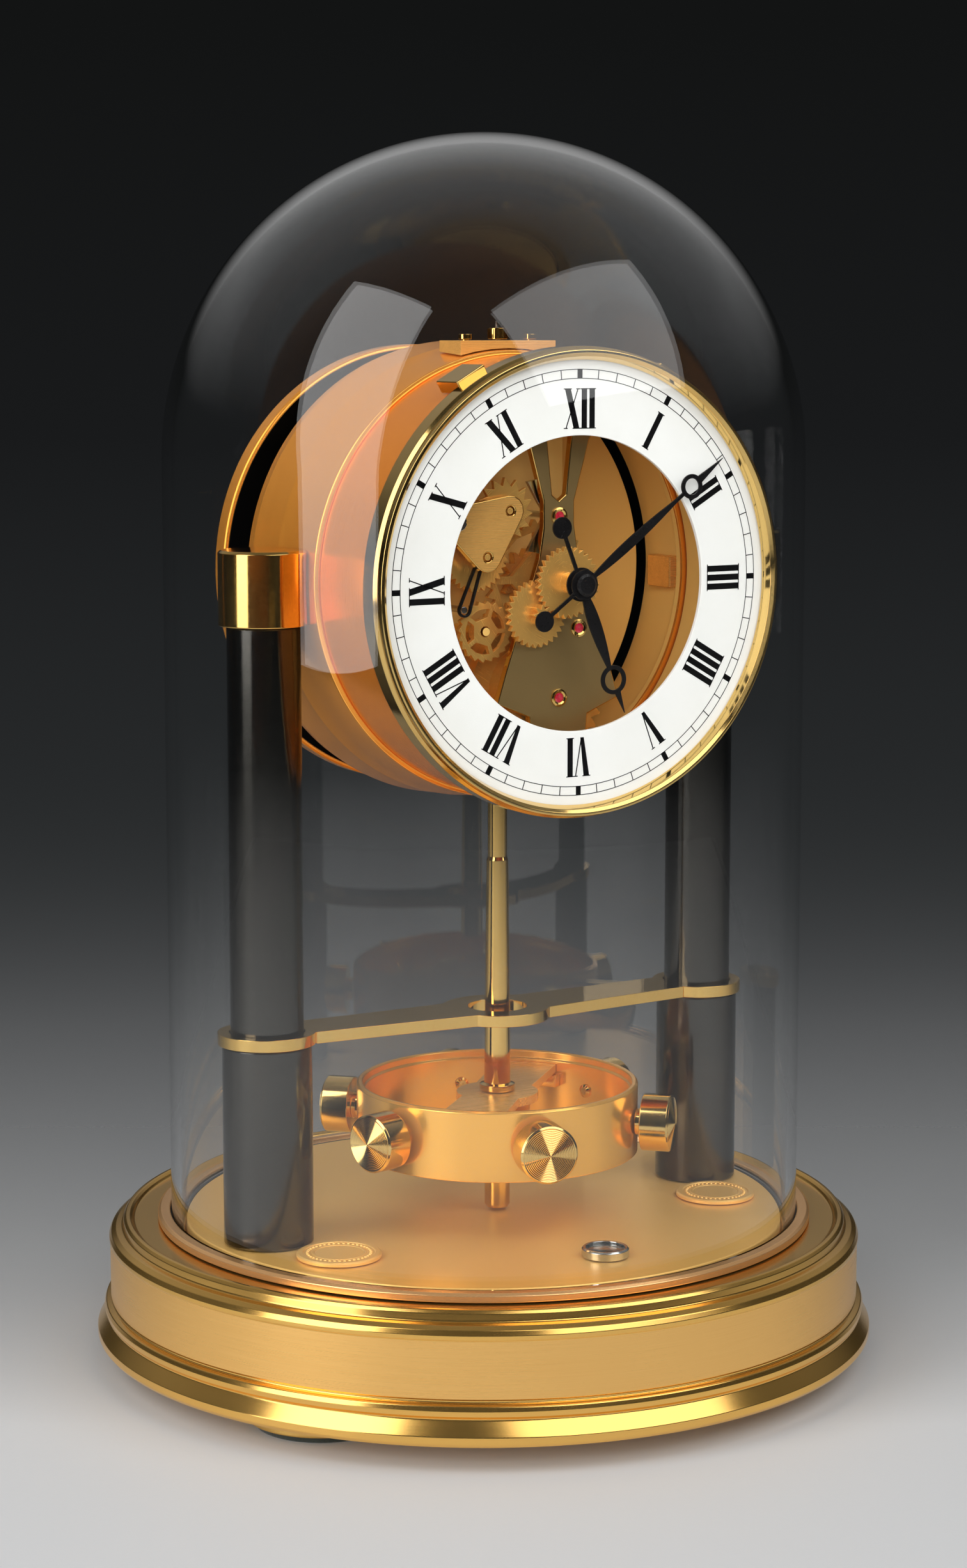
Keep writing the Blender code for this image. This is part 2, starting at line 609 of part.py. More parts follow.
def build_level():
    low = DECK_HEIGHT + GAP
    inner = LEVEL_RADIUS - LEVEL_WALL
    high = low + LEVEL_HEIGHT
    case = [
        (0, low), (LEVEL_RADIUS, low), (LEVEL_RADIUS, high - 0.4 * MM), (LEVEL_RADIUS - 0.4 * MM, high),
        (inner, high), (inner, low + LEVEL_FLOOR), (0, low + LEVEL_FLOOR),
    ]
    turned("spirit_level_case", case, STEEL, at=(0, LEVEL_Y, 0), steps=16)
    rod("spirit_level_vial", inner - GAP, low + LEVEL_FLOOR + GAP, high - GAP, CLEAR_GLASS,
        at=(0, LEVEL_Y, 0), steps=16)


def build_drum():
    place = {"at": forward_place(), "turn": FORWARD}
    mouth = NECK_RADIUS + GAP
    inner = CAN_BACK + CAN_WALL
    front = CAN_FRONT - CAN_WALL
    can = [
        (CAN_FLANGE_RADIUS, CAN_FRONT), (CAN_FLANGE_RADIUS, front), (can_radius(front) - CAN_WALL, front),
        (CAN_RADIUS - CAN_WALL, CAN_SHOULDER), (CAN_RADIUS - CAN_WALL - 1.6 * MM, inner), (mouth, inner),
        (mouth, CAN_BACK), (CAN_RADIUS - 2.5 * MM, CAN_BACK), (CAN_RADIUS - 0.6 * MM, CAN_BACK + 2.5 * MM),
        (CAN_RADIUS, CAN_SHOULDER), (can_radius(CAN_FRONT - 0.7 * MM), CAN_FRONT - 0.7 * MM),
        (can_radius(CAN_FRONT) - 0.7 * MM, CAN_FRONT),
    ]
    shell = turned("bellows_can", can, POLISHED_BRASS, steps=40, **place)
    below, above = DIAL_HEIGHT - CAN_RADIUS, CAN_CROWN
    spot = (0, PENDULUM_Y, 0)
    passage = rod("tube_passage", TUBE_RADIUS + 3 * MM, below - PASSAGE_PROUD, below + PASSAGE_REACH, None, at=spot, steps=16)
    hanger = rod("hanger_passage", HANGER_RADIUS + GAP, above - PASSAGE_REACH, above + PASSAGE_PROUD, None, at=spot, steps=10)
    combine(shell, "DIFFERENCE", passage, hanger)
    for x in (-SADDLE_SCREW_X, SADDLE_SCREW_X):
        hole = rod("saddle_screw_hole", SCREW_SHANK_RADIUS + GAP, above - PASSAGE_REACH, above + PASSAGE_PROUD, None,
                   at=(x, PENDULUM_Y, 0), steps=10)
        combine(shell, "DIFFERENCE", hole)

    back = LID_FRONT - LID_THICKNESS
    neck_end = CAN_BACK + CAN_WALL - 0.8 * MM
    cup = NECK_RADIUS - NECK_WALL
    lid = [
        (0, back), (LID_RADIUS - 2 * MM, back), (LID_RADIUS, back + 2 * MM), (LID_RADIUS, LID_FRONT - 1.5 * MM),
        (LID_RADIUS - 1.5 * MM, LID_FRONT),
        (NECK_RADIUS, LID_FRONT), (NECK_RADIUS, neck_end), (cup, neck_end),
        (cup, back + LID_FLOOR), (0, back + LID_FLOOR),
    ]
    turned("rear_lid", lid, POLISHED_BRASS, steps=40, **place)

    bore = CASING_RADIUS - CASING_WALL
    casing = [(bore, CASING_FRONT), (bore, CASING_BACK), (CASING_RADIUS, CASING_BACK), (CASING_RADIUS, CASING_FRONT)]
    turned("movement_casing", casing, COPPER_BRASS, steps=40, **place)


def build_bellows():
    place = {"at": forward_place(), "turn": FORWARD}
    start = LID_FRONT - LID_THICKNESS + LID_FLOOR + GAP
    end = BELLOWS_PLATE_DEPTH - BELLOWS_PLATE_THICKNESS - GAP
    ridges = [BELLOWS_RADIUS - BELLOWS_FOLD * ((i + 1) % 2) for i in range(2 * BELLOWS_FOLDS + 1)]
    heights = [start + (end - start) * i / (2 * BELLOWS_FOLDS) for i in range(2 * BELLOWS_FOLDS + 1)]
    outside = list(zip(ridges, heights))
    inside = [(radius - BELLOWS_SKIN, height) for radius, height in reversed(outside)]
    turned("bellows", outside + inside, COPPER_BRASS, steps=24, **place)

    push = pivot("bellows_stroke", forward_place())
    low, high = BELLOWS_PLATE_DEPTH - BELLOWS_PLATE_THICKNESS, BELLOWS_PLATE_DEPTH
    front = rod("bellows_plate", BELLOWS_PLATE_RADIUS, low, high, COPPER_BRASS, steps=32, parent=push, **place)
    stem = rod("push_rod", PUSH_ROD_RADIUS, low + 1 * MM, PUSH_ROD_TIP, None, at=forward_place(PUSH_ROD),
               turn=FORWARD, steps=10)
    combine(front, "UNION", stem)


def build_suspension():
    spot = (0, PENDULUM_Y, 0)
    reach, half = SADDLE_HALF_LENGTH, SADDLE_HALF_WIDTH
    outline = [(-reach, -half), (reach, -half), (reach, half), (-reach, half)]
    holes = [circle(SCREW_SHANK_RADIUS + GAP, 10, (x, 0)) for x in (-SADDLE_SCREW_X, SADDLE_SCREW_X)]
    holes.append(circle(HANGER_RADIUS + GAP, 10))
    crown = can_radius(-PENDULUM_Y)
    bottom = DIAL_HEIGHT + chord(crown, SADDLE_HALF_LENGTH) - 0.2 * MM
    saddle = plate("suspension_saddle", outline, holes, bottom, SADDLE_TOP, POLISHED_BRASS, at=spot)
    combine(saddle, "DIFFERENCE", drum_cutter("saddle_seat"))

    seat = SADDLE_TOP + GAP
    for side, x in (("left", -SADDLE_SCREW_X), ("right", SADDLE_SCREW_X)):
        tip = CAN_CROWN - CAN_WALL - 3 * MM
        screw = [
            (0, tip), (SCREW_SHANK_RADIUS, tip), (SCREW_SHANK_RADIUS, seat), (SCREW_HEAD_RADIUS, seat),
            (SCREW_HEAD_RADIUS, seat + SCREW_HEAD_HEIGHT), (0, seat + SCREW_HEAD_HEIGHT),
        ]
        turned(f"{side}_suspension_screw", screw, POLISHED_BRASS, at=(x, PENDULUM_Y, 0), steps=12)

    bore = HANGER_RADIUS + GAP
    nut_top = seat + NUT_HEIGHT
    nut = [(bore, seat), (NUT_RADIUS, seat), (NUT_RADIUS, nut_top), (bore, nut_top)]
    turned("suspension_nut", nut, POLISHED_BRASS, at=spot, steps=12)

    top = nut_top + 1.6 * MM
    clamp = top - HANGER_LENGTH
    foot = CROSSBAR_TOP + 7 * MM
    wire = [(0, foot), (WIRE_RADIUS, foot), (WIRE_RADIUS, clamp), (HANGER_RADIUS, clamp),
            (HANGER_RADIUS, top), (0, top)]
    turned("torsion_wire", wire, STEEL, at=spot, steps=8)


def build_dial():
    place = {"at": forward_place(), "turn": FORWARD}
    back = DIAL_DEPTH - DIAL_THICKNESS
    rim = CASING_RADIUS - FINE_GAP
    ring = [(DIAL_INNER_RADIUS, back), (rim, back), (rim, DIAL_DEPTH), (DIAL_INNER_RADIUS, DIAL_DEPTH)]
    turned("chapter_ring", ring, WHITE_ENAMEL, steps=44, **place)

    bore = CASING_RADIUS + GAP
    lip = DIAL_DEPTH + GAP
    tail = BEZEL_FRONT - BEZEL_HEIGHT
    big = BEZEL_RADIUS
    bezel = [
        (BEZEL_LIP_RADIUS, lip), (BEZEL_LIP_RADIUS + 0.9 * MM, BEZEL_FRONT - 0.6 * MM),
        (BEZEL_LIP_RADIUS + 1.7 * MM, BEZEL_FRONT), (big - 0.7 * MM, BEZEL_FRONT),
        (big - 0.7 * MM, BEZEL_FRONT - 1.9 * MM), (big, BEZEL_FRONT - 2.7 * MM), (big, tail), (bore, tail), (bore, lip),
    ]
    rim_piece = turned("bezel", bezel, POLISHED_BRASS, steps=44, **place)
    for side, lean in (("left", LUG_ANGLE), ("right", -LUG_ANGLE)):
        low, high = bore, bore + LUG_HEIGHT
        half = LUG_WIDTH / 2
        spin = lean + math.pi / 2
        corners = [(low, -half), (high, -half), (high, half), (low, half)]
        outline = [polar(math.hypot(x, y), math.atan2(y, x) + spin) for x, y in corners]
        lug = plate(f"{side}_lug", outline, [], tail - LUG_LENGTH, tail + 1.5 * MM, None, **place)
        combine(rim_piece, "UNION", lug)


# One hand along +Y: a hub, a leaf blade, an open ring, a spear tip and a tail with a disc.
def hand_half_width(s, length, ring, ring_radius, tail, tail_radius, hub, leaf):
    widths = [HAND_STEM]
    if abs(s) < hub:
        widths.append(math.sqrt(hub**2 - s**2))
    if abs(s - ring) < ring_radius:
        widths.append(math.sqrt(ring_radius**2 - (s - ring) ** 2))
    if abs(s + tail) < tail_radius:
        widths.append(math.sqrt(tail_radius**2 - (s + tail) ** 2))
    if 0 < s < ring:
        widths.append(leaf * math.sin(math.pi * s / ring))
    if s > ring:
        widths.append(SPEAR_HALF_WIDTH * (length - s) / (length - ring))
        widths.remove(HAND_STEM)
    return max(widths)


def build_hand(name, sizes, bore, depth, angle, parent):
    length, ring, ring_radius, tail, tail_radius, hub, leaf = sizes
    stations = [-tail + tail_radius * math.cos(math.pi * i / 6) for i in range(6)]
    stations += [hub * math.cos(math.pi * i / 6) for i in range(7)]
    stations += [hub + (ring - ring_radius - hub) * i / 3 for i in (1, 2)]
    stations += [ring + ring_radius * math.cos(math.pi * i / 6) for i in range(7)]
    stations = sorted(stations)
    side = [(hand_half_width(s, *sizes), s) for s in stations]
    side = [point for point in side if point[0] > 0.05 * MM]
    outline = side + [(0.0, length)] + [(-x, s) for x, s in reversed(side)]
    outline.append((0.0, -tail - tail_radius))
    holes = [circle(bore, 12), circle(ring_radius - HAND_RING_WALL, 12, (0, ring))]
    leaned = [[(x * math.cos(angle) + y * math.sin(angle), y * math.cos(angle) - x * math.sin(angle))
               for x, y in loop] for loop in [outline, *holes]]
    return plate(name, leaned[0], leaned[1:], depth, depth + HAND_THICKNESS, BLACK_LACQUER,
                 at=forward_place(), turn=FORWARD, parent=parent)


ARBOR_RADIUS = 0.9 * MM
CANNON_RADIUS = 1.6 * MM
PIPE_BORE = CANNON_RADIUS + GAP
PIPE_RADIUS = PIPE_BORE + 0.5 * MM


def build_hands(hour_axis, centre_axis):
    hour = (HOUR_LENGTH, HOUR_RING, HOUR_RING_RADIUS, HOUR_TAIL, HOUR_TAIL_RADIUS, HOUR_HUB_RADIUS, HOUR_LEAF)
    build_hand("hour_hand", hour, PIPE_RADIUS + FINE_GAP, HOUR_HAND_DEPTH, HOUR_ANGLE, hour_axis)
    minute = (MINUTE_LENGTH, MINUTE_RING, MINUTE_RING_RADIUS, MINUTE_TAIL, MINUTE_TAIL_RADIUS, MINUTE_HUB_RADIUS,
              MINUTE_LEAF)
    build_hand("minute_hand", minute, ARBOR_RADIUS + FINE_GAP, MINUTE_HAND_DEPTH, MINUTE_ANGLE, centre_axis)
    low = MINUTE_HAND_DEPTH + HAND_THICKNESS + FINE_GAP
    high = low + 1 * MM
    bore = ARBOR_RADIUS + FINE_GAP
    big = HAND_NUT_RADIUS
    nut = [(bore, low), (big, low), (big, high - 0.4 * MM), (big - 0.6 * MM, high), (bore, high)]
    turned("hand_nut", nut, BLACK_LACQUER, at=forward_place(), turn=FORWARD, steps=14, parent=centre_axis)


# The back plate is a disc cut off on the right, so that the bellows' plate shows beside it, with an ear for a pillar.
def back_plate_outline():
    start = math.acos(BACK_PLATE_EDGE / BACK_PLATE_RADIUS)
    foot_x, foot_y = LOWER_PILLAR
    ear = PILLAR_RADIUS + 1 * UNIT
    end = math.tau + math.atan2(foot_y, foot_x + ear)
    rim = [polar(BACK_PLATE_RADIUS, start + (end - start) * i / 32) for i in range(33)]
    return rim + [(foot_x + ear, foot_y + 2 * UNIT), (foot_x - 1 * UNIT, foot_y + ear + 1 * UNIT),
                  (BACK_PLATE_EDGE, foot_y + 2.5 * ear)]


def build_plates():
    place = {"at": forward_place(), "turn": FORWARD}
    pivot_hole = PIVOT_RADIUS + PIVOT_CLEARANCE
    arbor_hole = ARBOR_RADIUS + PIVOT_CLEARANCE
    holes = [circle(arbor_hole, 10)]
    holes += [circle(pivot_hole, 10, spot) for spot in (BARREL, THIRD, ESCAPE, LEVER, CRANK)]
    holes.append(circle(PUSH_ROD_RADIUS + 2 * GAP, 10, PUSH_ROD))
    back = plate("back_plate", back_plate_outline(), holes, BACK_PLATE_BACK, BACK_PLATE_FRONT, BRUSHED_BRASS, **place)
    seat = BACK_PLATE_FRONT - 0.5 * MM
    posts = [(side * x, y) for x, y in (LOWER_PILLAR, UPPER_PILLAR) for side in (-1, 1)]
    for index, spot in enumerate([*posts, BRIDGE_PILLAR]):
        post = rod(f"pillar_{index}", PILLAR_RADIUS, seat, FRONT_PLATE_BACK - GAP, None,
                   at=forward_place(spot), turn=FORWARD, steps=10)
        combine(back, "UNION", post)
    stud = rod("winding_stud", WINDING_BORE - PIVOT_CLEARANCE, seat, WINDING_FRONT + 0.4 * MM, None,
               at=forward_place(WINDING), turn=FORWARD, steps=12)
    combine(back, "UNION", stud)

    foot_x, foot_y = LOWER_PILLAR
    head_x, head_y = UPPER_PILLAR
    pad = PILLAR_RADIUS + 0.5 * MM
    right = [
        (foot_x - 1 * UNIT, foot_y - pad), (foot_x + 2 * UNIT, foot_y - 0.5 * UNIT), (foot_x + 0.5 * UNIT, foot_y + pad),
        (7.5 * UNIT, foot_y + pad + 2 * UNIT), (8 * UNIT, BARREL[1] - 4.2 * UNIT), (16.6 * UNIT, BARREL[1] - 0.7 * UNIT),
        (14.2 * UNIT, BARREL[1] + 6.8 * UNIT), (11 * UNIT, BARREL[1] + 15.8 * UNIT), (5.5 * UNIT, 4.8 * UNIT),
        (4.2 * UNIT, LEVER_RISE - 2 * UNIT), (4.2 * UNIT, LEVER_RISE + 3.5 * UNIT), (head_x + 0.2 * UNIT, head_y - 4.6 * UNIT),
        (head_x + pad, head_y), (head_x + pad, head_y + pad), (head_x - pad, head_y + pad),
        (3.3 * UNIT, head_y - 3 * UNIT), (1.8 * UNIT, LEVER_RISE + 5 * UNIT),
    ]
    base = [(0, foot_y - pad - 1.5 * UNIT)]
    outline = base + right + [(0, LEVER_RISE + 3.6 * UNIT)] + [(-x, y) for x, y in reversed(right)]
    holes = [circle(arbor_hole, 10)]
    holes += [circle(pivot_hole, 10, spot) for spot in (BARREL, LEVER, MOTION)]
    plate("front_plate", outline, holes, FRONT_PLATE_BACK, FRONT_PLATE_DEPTH, BRUSHED_BRASS, **place)

    ends = (THIRD, ESCAPE, BRIDGE_PILLAR)
    holes = [circle(pivot_hole, 10, spot) for spot in (THIRD, ESCAPE)]
    plate("train_bridge", round_triangle(ends, 3.6 * UNIT), holes, FRONT_PLATE_BACK, FRONT_PLATE_DEPTH,
          COPPER_BRASS, **place)


# The outline round three discs of one radius, in turn anticlockwise.
def round_triangle(spots, radius):
    middle = [sum(spot[i] for spot in spots) / 3 for i in (0, 1)]
    ordered = sorted(spots, key=lambda spot: math.atan2(spot[1] - middle[1], spot[0] - middle[0]))
    points = []
    for before, here, after in zip(ordered[-1:] + ordered[:-1], ordered, ordered[1:] + ordered[:1]):
        start = math.atan2(here[1] - before[1], here[0] - before[0]) - math.pi / 2
        end = math.atan2(after[1] - here[1], after[0] - here[0]) - math.pi / 2
        while end < start:
            end += math.tau
        points += arc(here, radius, start, end, 5)
    return points


# Depths of the wheels between the plates, from the back plate forwards
BARREL_DEPTH = BACK_PLATE_FRONT + 1.8 * MM
CENTRE_DEPTH = BARREL_DEPTH + 5.3 * MM
THIRD_DEPTH = CENTRE_DEPTH + 3.9 * MM
ESCAPE_DEPTH = FRONT_PLATE_BACK - 1.8 * MM
MOTION_DEPTH = FRONT_PLATE_DEPTH + 0.5 * MM
HOUR_DEPTH = MOTION_DEPTH + 2.3 * MM
WINDING_DEPTH = THIRD_DEPTH + 0.7 * MM
WINDING_FRONT = WINDING_DEPTH + WHEEL_THICKNESS
CRANK_DEPTH = FRONT_PLATE_BACK - 1.5 * MM


def add_round(wheel, name, radius, low, high, spot, steps=10):
    combine(wheel, "UNION", rod(name, radius, low, high, None, at=forward_place(spot), turn=FORWARD, steps=steps))


def add_bore(wheel, name, radius, spot, steps=10):
    low, high = BACK_PLATE_BACK - 5 * MM, BEZEL_FRONT + 5 * MM
    combine(wheel, "DIFFERENCE", rod(name, radius, low, high, None, at=forward_place(spot), turn=FORWARD, steps=steps))


def add_pinion(wheel, name, teeth, module, phase, low, high, spot):
    pinion = plate(name, gear_outline(teeth, module, phase), [], low, high, None,
                   at=forward_place(spot), turn=FORWARD)
    combine(wheel, "UNION", pinion)


def wheel_plate(name, teeth, module, phase, windows, depth, surface, spot, axis):
    return plate(name, gear_outline(teeth, module, phase), windows, depth, depth + WHEEL_THICKNESS, surface,
                 at=forward_place(spot), turn=FORWARD, parent=axis)


def build_train(centre_axis):
    overlap = 0.6 * MM
    module, centre_phase, barrel_phase = meshing(
        CENTRE, BARREL, CENTRE_PINION_TEETH, BARREL_TEETH, BARREL_DISTANCE)
    axis = pivot("barrel_axis", forward_place(BARREL))
    barrel = wheel_plate("barrel", BARREL_TEETH, module, barrel_phase, [], BARREL_DEPTH, POLISHED_BRASS, BARREL, axis)
    drum = module * BARREL_TEETH / 2 - 4 * UNIT
    add_round(barrel, "barrel_drum", drum, BARREL_DEPTH + overlap, CENTRE_DEPTH - 1 * MM, BARREL, 24)
    add_round(barrel, "barrel_cap", BARREL_CAP_RADIUS, CENTRE_DEPTH - 1.5 * MM, FRONT_PLATE_BACK - 1 * MM, BARREL, 24)
    add_round(barrel, "barrel_arbor", PIVOT_RADIUS, PIVOT_START, PIVOT_END, BARREL)

    wide, wheel_phase, third_phase = meshing(CENTRE, THIRD, CENTRE_TEETH, THIRD_PINION_TEETH, THIRD_DISTANCE)
    rim = wide * CENTRE_TEETH / 2 - 2.2 * UNIT
    hub = module * CENTRE_PINION_TEETH / 2 + 1 * UNIT
    windows = arm_windows(rim, hub, 4, 0.9 * UNIT)
    centre = wheel_plate("centre_wheel", CENTRE_TEETH, wide, wheel_phase, windows, CENTRE_DEPTH,
                         POLISHED_BRASS, CENTRE, centre_axis)
    add_pinion(centre, "centre_pinion", CENTRE_PINION_TEETH, module, centre_phase,
               BARREL_DEPTH - 0.4 * MM, BARREL_DEPTH + WHEEL_THICKNESS + 0.4 * MM, CENTRE)
    tip = MINUTE_HAND_DEPTH + HAND_THICKNESS + 0.9 * MM
    add_round(centre, "centre_arbor", ARBOR_RADIUS, PIVOT_START, tip, CENTRE)

    fine, third_wheel_phase, escape_phase = meshing(
        THIRD, ESCAPE, THIRD_TEETH, ESCAPE_PINION_TEETH, ESCAPE_DISTANCE)
    axis = pivot("third_axis", forward_place(THIRD))
    third = wheel_plate("third_wheel", THIRD_TEETH, fine, third_wheel_phase, [], THIRD_DEPTH,
                        POLISHED_BRASS, THIRD, axis)
    add_pinion(third, "third_pinion", THIRD_PINION_TEETH, wide, third_phase,
               CENTRE_DEPTH - 0.5 * MM, CENTRE_DEPTH + WHEEL_THICKNESS + 0.5 * MM, THIRD)
    add_round(third, "third_arbor", PIVOT_RADIUS, PIVOT_START, PIVOT_END, THIRD)

    axis = pivot("escape_axis", forward_place(ESCAPE))
    escape = plate("escape_wheel", ratchet_outline(ESCAPE_TEETH, ESCAPE_RADIUS, 2 * UNIT), [],
                   ESCAPE_DEPTH, ESCAPE_DEPTH + WHEEL_THICKNESS - 0.2 * MM, POLISHED_BRASS,
                   at=forward_place(ESCAPE), turn=FORWARD, parent=axis)
    add_pinion(escape, "escape_pinion", ESCAPE_PINION_TEETH, fine, escape_phase,
               THIRD_DEPTH - 0.4 * MM, THIRD_DEPTH + WHEEL_THICKNESS + 0.4 * MM, ESCAPE)
    add_round(escape, "escape_arbor", PIVOT_RADIUS, PIVOT_START, PIVOT_END, ESCAPE)


# The lever rocks on an arbor through both plates: pallets at the escape wheel, a fork near the roller.
def build_lever():
    axis = pivot("lever_axis", forward_place(LEVER))
    reach = LEVER[0] - ESCAPE[0]
    inset = reach - ESCAPE_RADIUS + 0.5 * UNIT
    claw = [(2 * UNIT, -2 * UNIT), (2.2 * UNIT, 2 * UNIT), (-inset + 1.2 * UNIT, 8.4 * UNIT), (-inset - 1 * UNIT, 8 * UNIT),
            (-inset + 2 * UNIT, 3 * UNIT), (-1.6 * UNIT, 0), (-inset + 2 * UNIT, -3 * UNIT), (-inset - 1 * UNIT, -8 * UNIT),
            (-inset + 1.2 * UNIT, -8.4 * UNIT)]
    lever = plate("pallet_lever", claw, [], ESCAPE_DEPTH, ESCAPE_DEPTH + WHEEL_THICKNESS - 0.2 * MM, STEEL,
                  at=forward_place(LEVER), turn=FORWARD, parent=axis)
    low = BACK_PLATE_BACK - 2.1 * MM
    add_round(lever, "lever_arbor", PIVOT_RADIUS, low, PIVOT_END, LEVER)
    arm = [(2 * UNIT, 2 * UNIT), (-2 * UNIT, 2 * UNIT), (-0.9 * UNIT, -LEVER_LENGTH + 5 * UNIT), (-2.2 * UNIT, -LEVER_LENGTH),
           (-1 * UNIT, -LEVER_LENGTH), (0, -LEVER_LENGTH + 2.4 * UNIT), (1 * UNIT, -LEVER_LENGTH),
           (2.2 * UNIT, -LEVER_LENGTH), (0.9 * UNIT, -LEVER_LENGTH + 5 * UNIT)]
    fork = plate("lever_fork", arm, [], low, low + 1.2 * MM, None, at=forward_place(LEVER), turn=FORWARD)
    combine(lever, "UNION", fork)


def build_motion_work(hour_axis, centre_axis):
    module, cannon_phase, minute_phase = meshing(CENTRE, MOTION, CANNON_TEETH, MINUTE_TEETH, MOTION_DISTANCE)
    cannon = plate("cannon_pinion", gear_outline(CANNON_TEETH, module, cannon_phase), [],
                   MOTION_DEPTH, MOTION_DEPTH + WHEEL_THICKNESS + 0.4 * MM, STEEL,
                   at=forward_place(), turn=FORWARD, parent=centre_axis)
    add_round(cannon, "cannon_sleeve", CANNON_RADIUS, MOTION_DEPTH + 0.5 * MM, MINUTE_HAND_DEPTH - FINE_GAP, CENTRE)
    add_bore(cannon, "cannon_bore", ARBOR_RADIUS + FINE_GAP, CENTRE)

    slow, pinion_phase, hour_phase = meshing(MOTION, CENTRE, MINUTE_PINION_TEETH, HOUR_TEETH, MOTION_DISTANCE)
    axis = pivot("minute_wheel_axis", forward_place(MOTION))
    minute = wheel_plate("minute_wheel", MINUTE_TEETH, module, minute_phase, [], MOTION_DEPTH,
                         POLISHED_BRASS, MOTION, axis)
    pinion_end = HOUR_DEPTH + WHEEL_THICKNESS + 0.3 * MM
    add_pinion(minute, "minute_pinion", MINUTE_PINION_TEETH, slow, pinion_phase,
               MOTION_DEPTH + 1 * MM, pinion_end, MOTION)
    add_round(minute, "minute_arbor", PIVOT_RADIUS, FRONT_PLATE_BACK + FINE_GAP, pinion_end + 0.3 * MM, MOTION)

    hour = wheel_plate("hour_wheel", HOUR_TEETH, slow, hour_phase, [], HOUR_DEPTH, POLISHED_BRASS, CENTRE, hour_axis)
    add_round(hour, "hour_pipe", PIPE_RADIUS, HOUR_DEPTH + 0.5 * MM, HOUR_HAND_DEPTH + HAND_THICKNESS, CENTRE, 12)
    add_bore(hour, "hour_bore", PIPE_BORE, CENTRE, 12)


def build_winding():
    axis = pivot("winding_axis", forward_place(WINDING))
    tip = WINDING_RADIUS
    windows = arm_windows(tip - 1.9 * UNIT, 3.4 * UNIT, 5, 0.5 * UNIT)
    wheel = plate("winding_wheel", ratchet_outline(WINDING_TEETH, tip, 0.8 * UNIT), windows,
                  WINDING_DEPTH, WINDING_FRONT, COPPER_BRASS, at=forward_place(WINDING), turn=FORWARD, parent=axis)
    add_round(wheel, "winding_pulley", 2.9 * UNIT, WINDING_DEPTH - 1.6 * MM, WINDING_DEPTH + 0.6 * MM, WINDING, 12)
    add_bore(wheel, "winding_bore", WINDING_BORE, WINDING)

    axis = pivot("crank_axis", forward_place(CRANK))
    lean = math.atan2(CRANK[1] - THIRD[1], CRANK[0] - THIRD[0]) + math.pi
    tip = polar(CRANK_LENGTH, lean)
    outline = arc((0, 0), 1.9 * UNIT, lean + math.pi / 2, lean + 1.5 * math.pi, 6)
    outline += arc(tip, 1.1 * UNIT, lean - math.pi / 2, lean + math.pi / 2, 5)
    crank = plate("winding_lever", outline, [], CRANK_DEPTH, CRANK_DEPTH + 0.9 * MM, BLACK_LACQUER,
                  at=forward_place(CRANK), turn=FORWARD, parent=axis)
    add_round(crank, "crank_arbor", PIVOT_RADIUS, PIVOT_START, CRANK_DEPTH + 0.5 * MM, CRANK)


